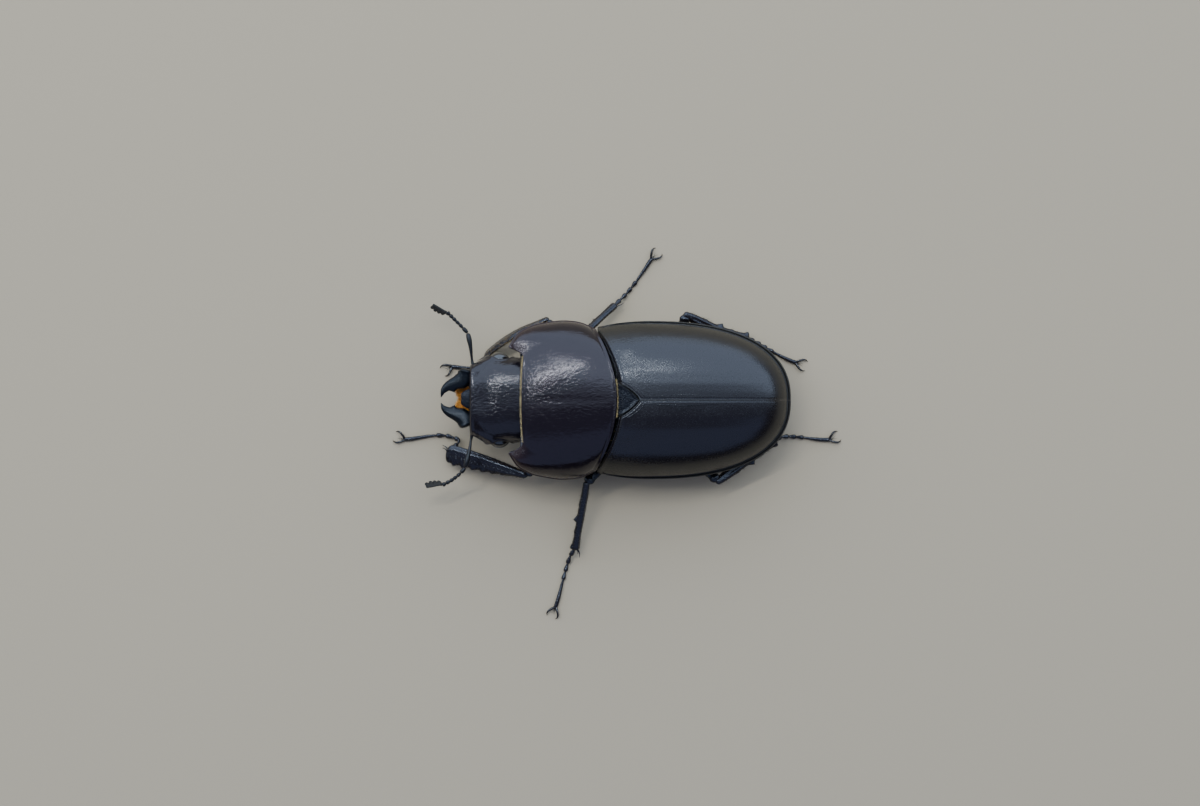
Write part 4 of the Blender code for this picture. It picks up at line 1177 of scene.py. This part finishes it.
def make_fringes():
    """The gold fringes in front of and behind the pronotum."""
    gold = hair_finish("fringe_hair", (0.34, 0.23, 0.075), (0.72, 0.56, 0.28), 0.45)
    chance = np.random.default_rng(4)
    y = chance.uniform(-4.55, 4.75, 700)
    lift, sway = chance.uniform(-0.07, 0.07, len(y)), chance.uniform(-0.3, 0.3, len(y))
    rise = arch(y / PRONOTUM_FRONT_HALF_WIDTH, PRONOTUM_FULLNESS)
    z = PRONOTUM_EDGE_Z + FRONT_LIFT + (PRONOTUM_FRONT_RISE - FRONT_LIFT) * rise - 0.14 + lift
    roots = np.column_stack([front_edge_x(y, PRONOTUM_FRONT_HALF_WIDTH) + 0.12, y, z])
    ways = np.column_stack([0 * y - 1, sway, 0 * y - 0.2])
    patch = "pronotum", roots, ways, chance.uniform(0.22, 0.42, len(y))
    coat("fringe_front", [patch], 0.02, gold, "mouth_gold")
    y = chance.uniform(-1.9, 2.25, 480)
    lift, sway = chance.uniform(-0.07, 0.07, len(y)), chance.uniform(-0.3, 0.3, len(y))
    rise = arch(y / PRONOTUM_REAR_HALF_WIDTH, PRONOTUM_FULLNESS)
    z = PRONOTUM_EDGE_Z + PRONOTUM_REAR_RISE * rise - 0.08 + lift
    roots = np.column_stack([-REAR_BOW * y * y - 0.12, y, z])
    ways = np.column_stack([0 * y + 1, sway, 0 * y + 0.02])
    patch = "pronotum", roots, ways, chance.uniform(0.24, 0.4, len(y))
    coat("fringe_rear", [patch], 0.02, gold, "mouth_gold")


def make_brush():
    """The orange brush on the tongue lobes."""
    orange = hair_finish("brush_hair", (0.55, 0.17, 0.012), (0.95, 0.48, 0.06), 0.5)
    chance = np.random.default_rng(8)

    def tips(at, out):
        return (out[:, 0] < 0.35) * (at[:, 0] < -16.0)

    roots, normals = skin_roots("tongue_lobes", 2600, chance, tips)
    ways = normals * 0.8 + chance.uniform(-0.35, 0.35, roots.shape) - (0.75, 0, 0)
    patch = "tongue_lobes", roots, ways, chance.uniform(0.2, 0.38, len(roots))
    coat("mouth_brush", [patch], 0.02, orange, "mouth_gold")


def make_bristles():
    """The short hairs of the belly, the legs and the feelers."""
    gold = hair_finish("belly_hair", (0.16, 0.09, 0.03), (0.42, 0.28, 0.11), 0.45)
    brown = hair_finish("leg_hair", (0.03, 0.02, 0.014), (0.14, 0.095, 0.05), 0.4)
    chance = np.random.default_rng(15)

    def patch(skin_name, count, way, stand, lengths, wanted):
        roots, normals = skin_roots(skin_name, count, chance, wanted)
        ways = np.array(way) + normals * stand + chance.uniform(-0.25, 0.25, roots.shape)
        return skin_name, roots, ways, chance.uniform(*lengths, count)

    def below(at, out):
        return out[:, 2] < -0.35

    def all_round(at, out):
        return np.ones(len(at))

    belly = [
        patch("pronotum", 700, (0.9, 0, 0), 0.35, (0.25, 0.45), below),
        patch("hind_thorax", 1500, (0.9, 0, 0), 0.35, (0.25, 0.5), below),
        patch("abdomen", 1700, (0.9, 0, 0), 0.3, (0.2, 0.4), below),
    ]
    coat("belly_hair", belly, 0.012, gold, "belly_shell")
    for name in LEG_NAMES:
        thigh, shin, edge_way, foot = LEG_LINES[name]
        front = name.startswith("front")
        thigh_way, shin_way, foot_way = (unit(line[-1] - line[0]) for line in (thigh, shin, foot))

        def outer_edge(at, out, way=edge_way):
            return np.clip(np.abs(out @ way) - 0.3, 0, 1)

        def front_face(at, out):
            return out[:, 0] < -0.3

        patches = [
            patch(f"thigh_{name}", 320 if front else 90, thigh_way, 0.3, (0.18, 0.32), front_face),
            patch(f"shin_{name}", 420 if front else 150, shin_way * 0.8, 0.7, (0.25, 0.5), outer_edge),
            patch(f"foot_{name}", 150, foot_way * 0.8, 0.6, (0.12, 0.26), below),
        ]
        coat(f"hair_leg_{name}", patches, 0.011, gold if name == "front_right" else brown, "leg_shell")
    lashes = [
        patch(f"feeler_{part}_{side}", 110, (-0.6, 0.5 * sign, 0), 0.8, (0.1, 0.22), all_round)
        for part in ("lash", "shaft") for side, sign in SIDES
    ]
    coat("hair_feelers", lashes, 0.009, brown, "feeler_shell")


make_fringes()
make_brush()
make_bristles()


# ---- Floor, light and camera -------------------------------------------------------------------------------
# The stand-in for the room: a plain pale floor, a broad soft light on the beetle's right with faint ones on
# its left, two narrow lamps that draw the highlights, and a camera that looks straight down on its back.


def make_stage():
    """Floor, lights and camera."""
    floor_mesh = bpy.data.meshes.new("floor")
    corners = [(-2, -2, 0), (2, -2, 0), (2, 2, 0), (-2, 2, 0)]
    floor_mesh.from_pydata(corners, [], [(0, 1, 2, 3)])
    finish, tree, shader = new_finish("floor_paint")
    paint = {"Base Color": (0.44, 0.352, 0.238, 1), "Roughness": 0.8, "Specular IOR Level": 0.2}
    feed(tree, shader, paint)
    floor_mesh.materials.append(finish)
    floor = bpy.data.objects.new("floor", floor_mesh)
    bpy.context.scene.collection.objects.link(floor)

    middle = np.array((-1.84, -0.32, 6.0)) + ORIGIN
    for name, place, size, turn, glow, colour in (
        ("ceiling", (0, 1.26, 0.6), (7.0, 2.28), (0, 0, 0), 2.85, (0.62, 0.77, 1.0)),
        ("ceiling_edge", (0, 0.055, 0.6), (4.6, 0.13), (0, 0, 0), 1.0, (0.62, 0.77, 1.0)),
        ("window", (0, 2.4, 0.31), (4.6, 0.58), (-90, 0, 0), 2.4, (0.66, 0.8, 1.0)),
        ("high_strip", (-0.19, 0.3, 0.55), (0.17, 0.012), (0, 0, 40), 30.0, (0.88, 0.95, 1.0)),
        ("low_strip", (-0.2, 0.19, 0.55), (0.5, 0.012), (0, 0, 24), 75.0, (0.88, 0.95, 1.0)),
        ("shade_side", (0, -0.93, 0.6), (2.6, 1.35), (0, 0, 0), 0.6, (0.45, 0.58, 1.0)),
        ("shade_inside", (0, -0.15, 0.6), (2.6, 0.21), (0, 0, 0), 0.2, (0.45, 0.58, 1.0)),
    ):
        light = bpy.data.lights.new(name, "AREA")
        light.shape = "RECTANGLE"
        light.size, light.size_y = size
        light.energy = glow * math.pi * size[0] * size[1]
        light.color = colour
        lamp = bpy.data.objects.new(name, light)
        lamp.location = place
        lamp.rotation_euler = [math.radians(angle) for angle in turn]
        bpy.context.scene.collection.objects.link(lamp)

    world = bpy.data.worlds.new("room")
    world.use_nodes = True
    air = world.node_tree
    feed(air, air.nodes["Background"], {"Color": (0.75, 0.8, 0.9, 1), "Strength": 0.05})
    bpy.context.scene.world = world

    lens = bpy.data.cameras.new("camera")
    lens.sensor_width = 36
    lens.lens = 90
    lens.clip_start = 0.01
    camera = bpy.data.objects.new("camera", lens)
    camera.location = middle * MM + np.array((0, 0, 0.325))
    bpy.context.scene.collection.objects.link(camera)
    bpy.context.scene.camera = camera


make_stage()
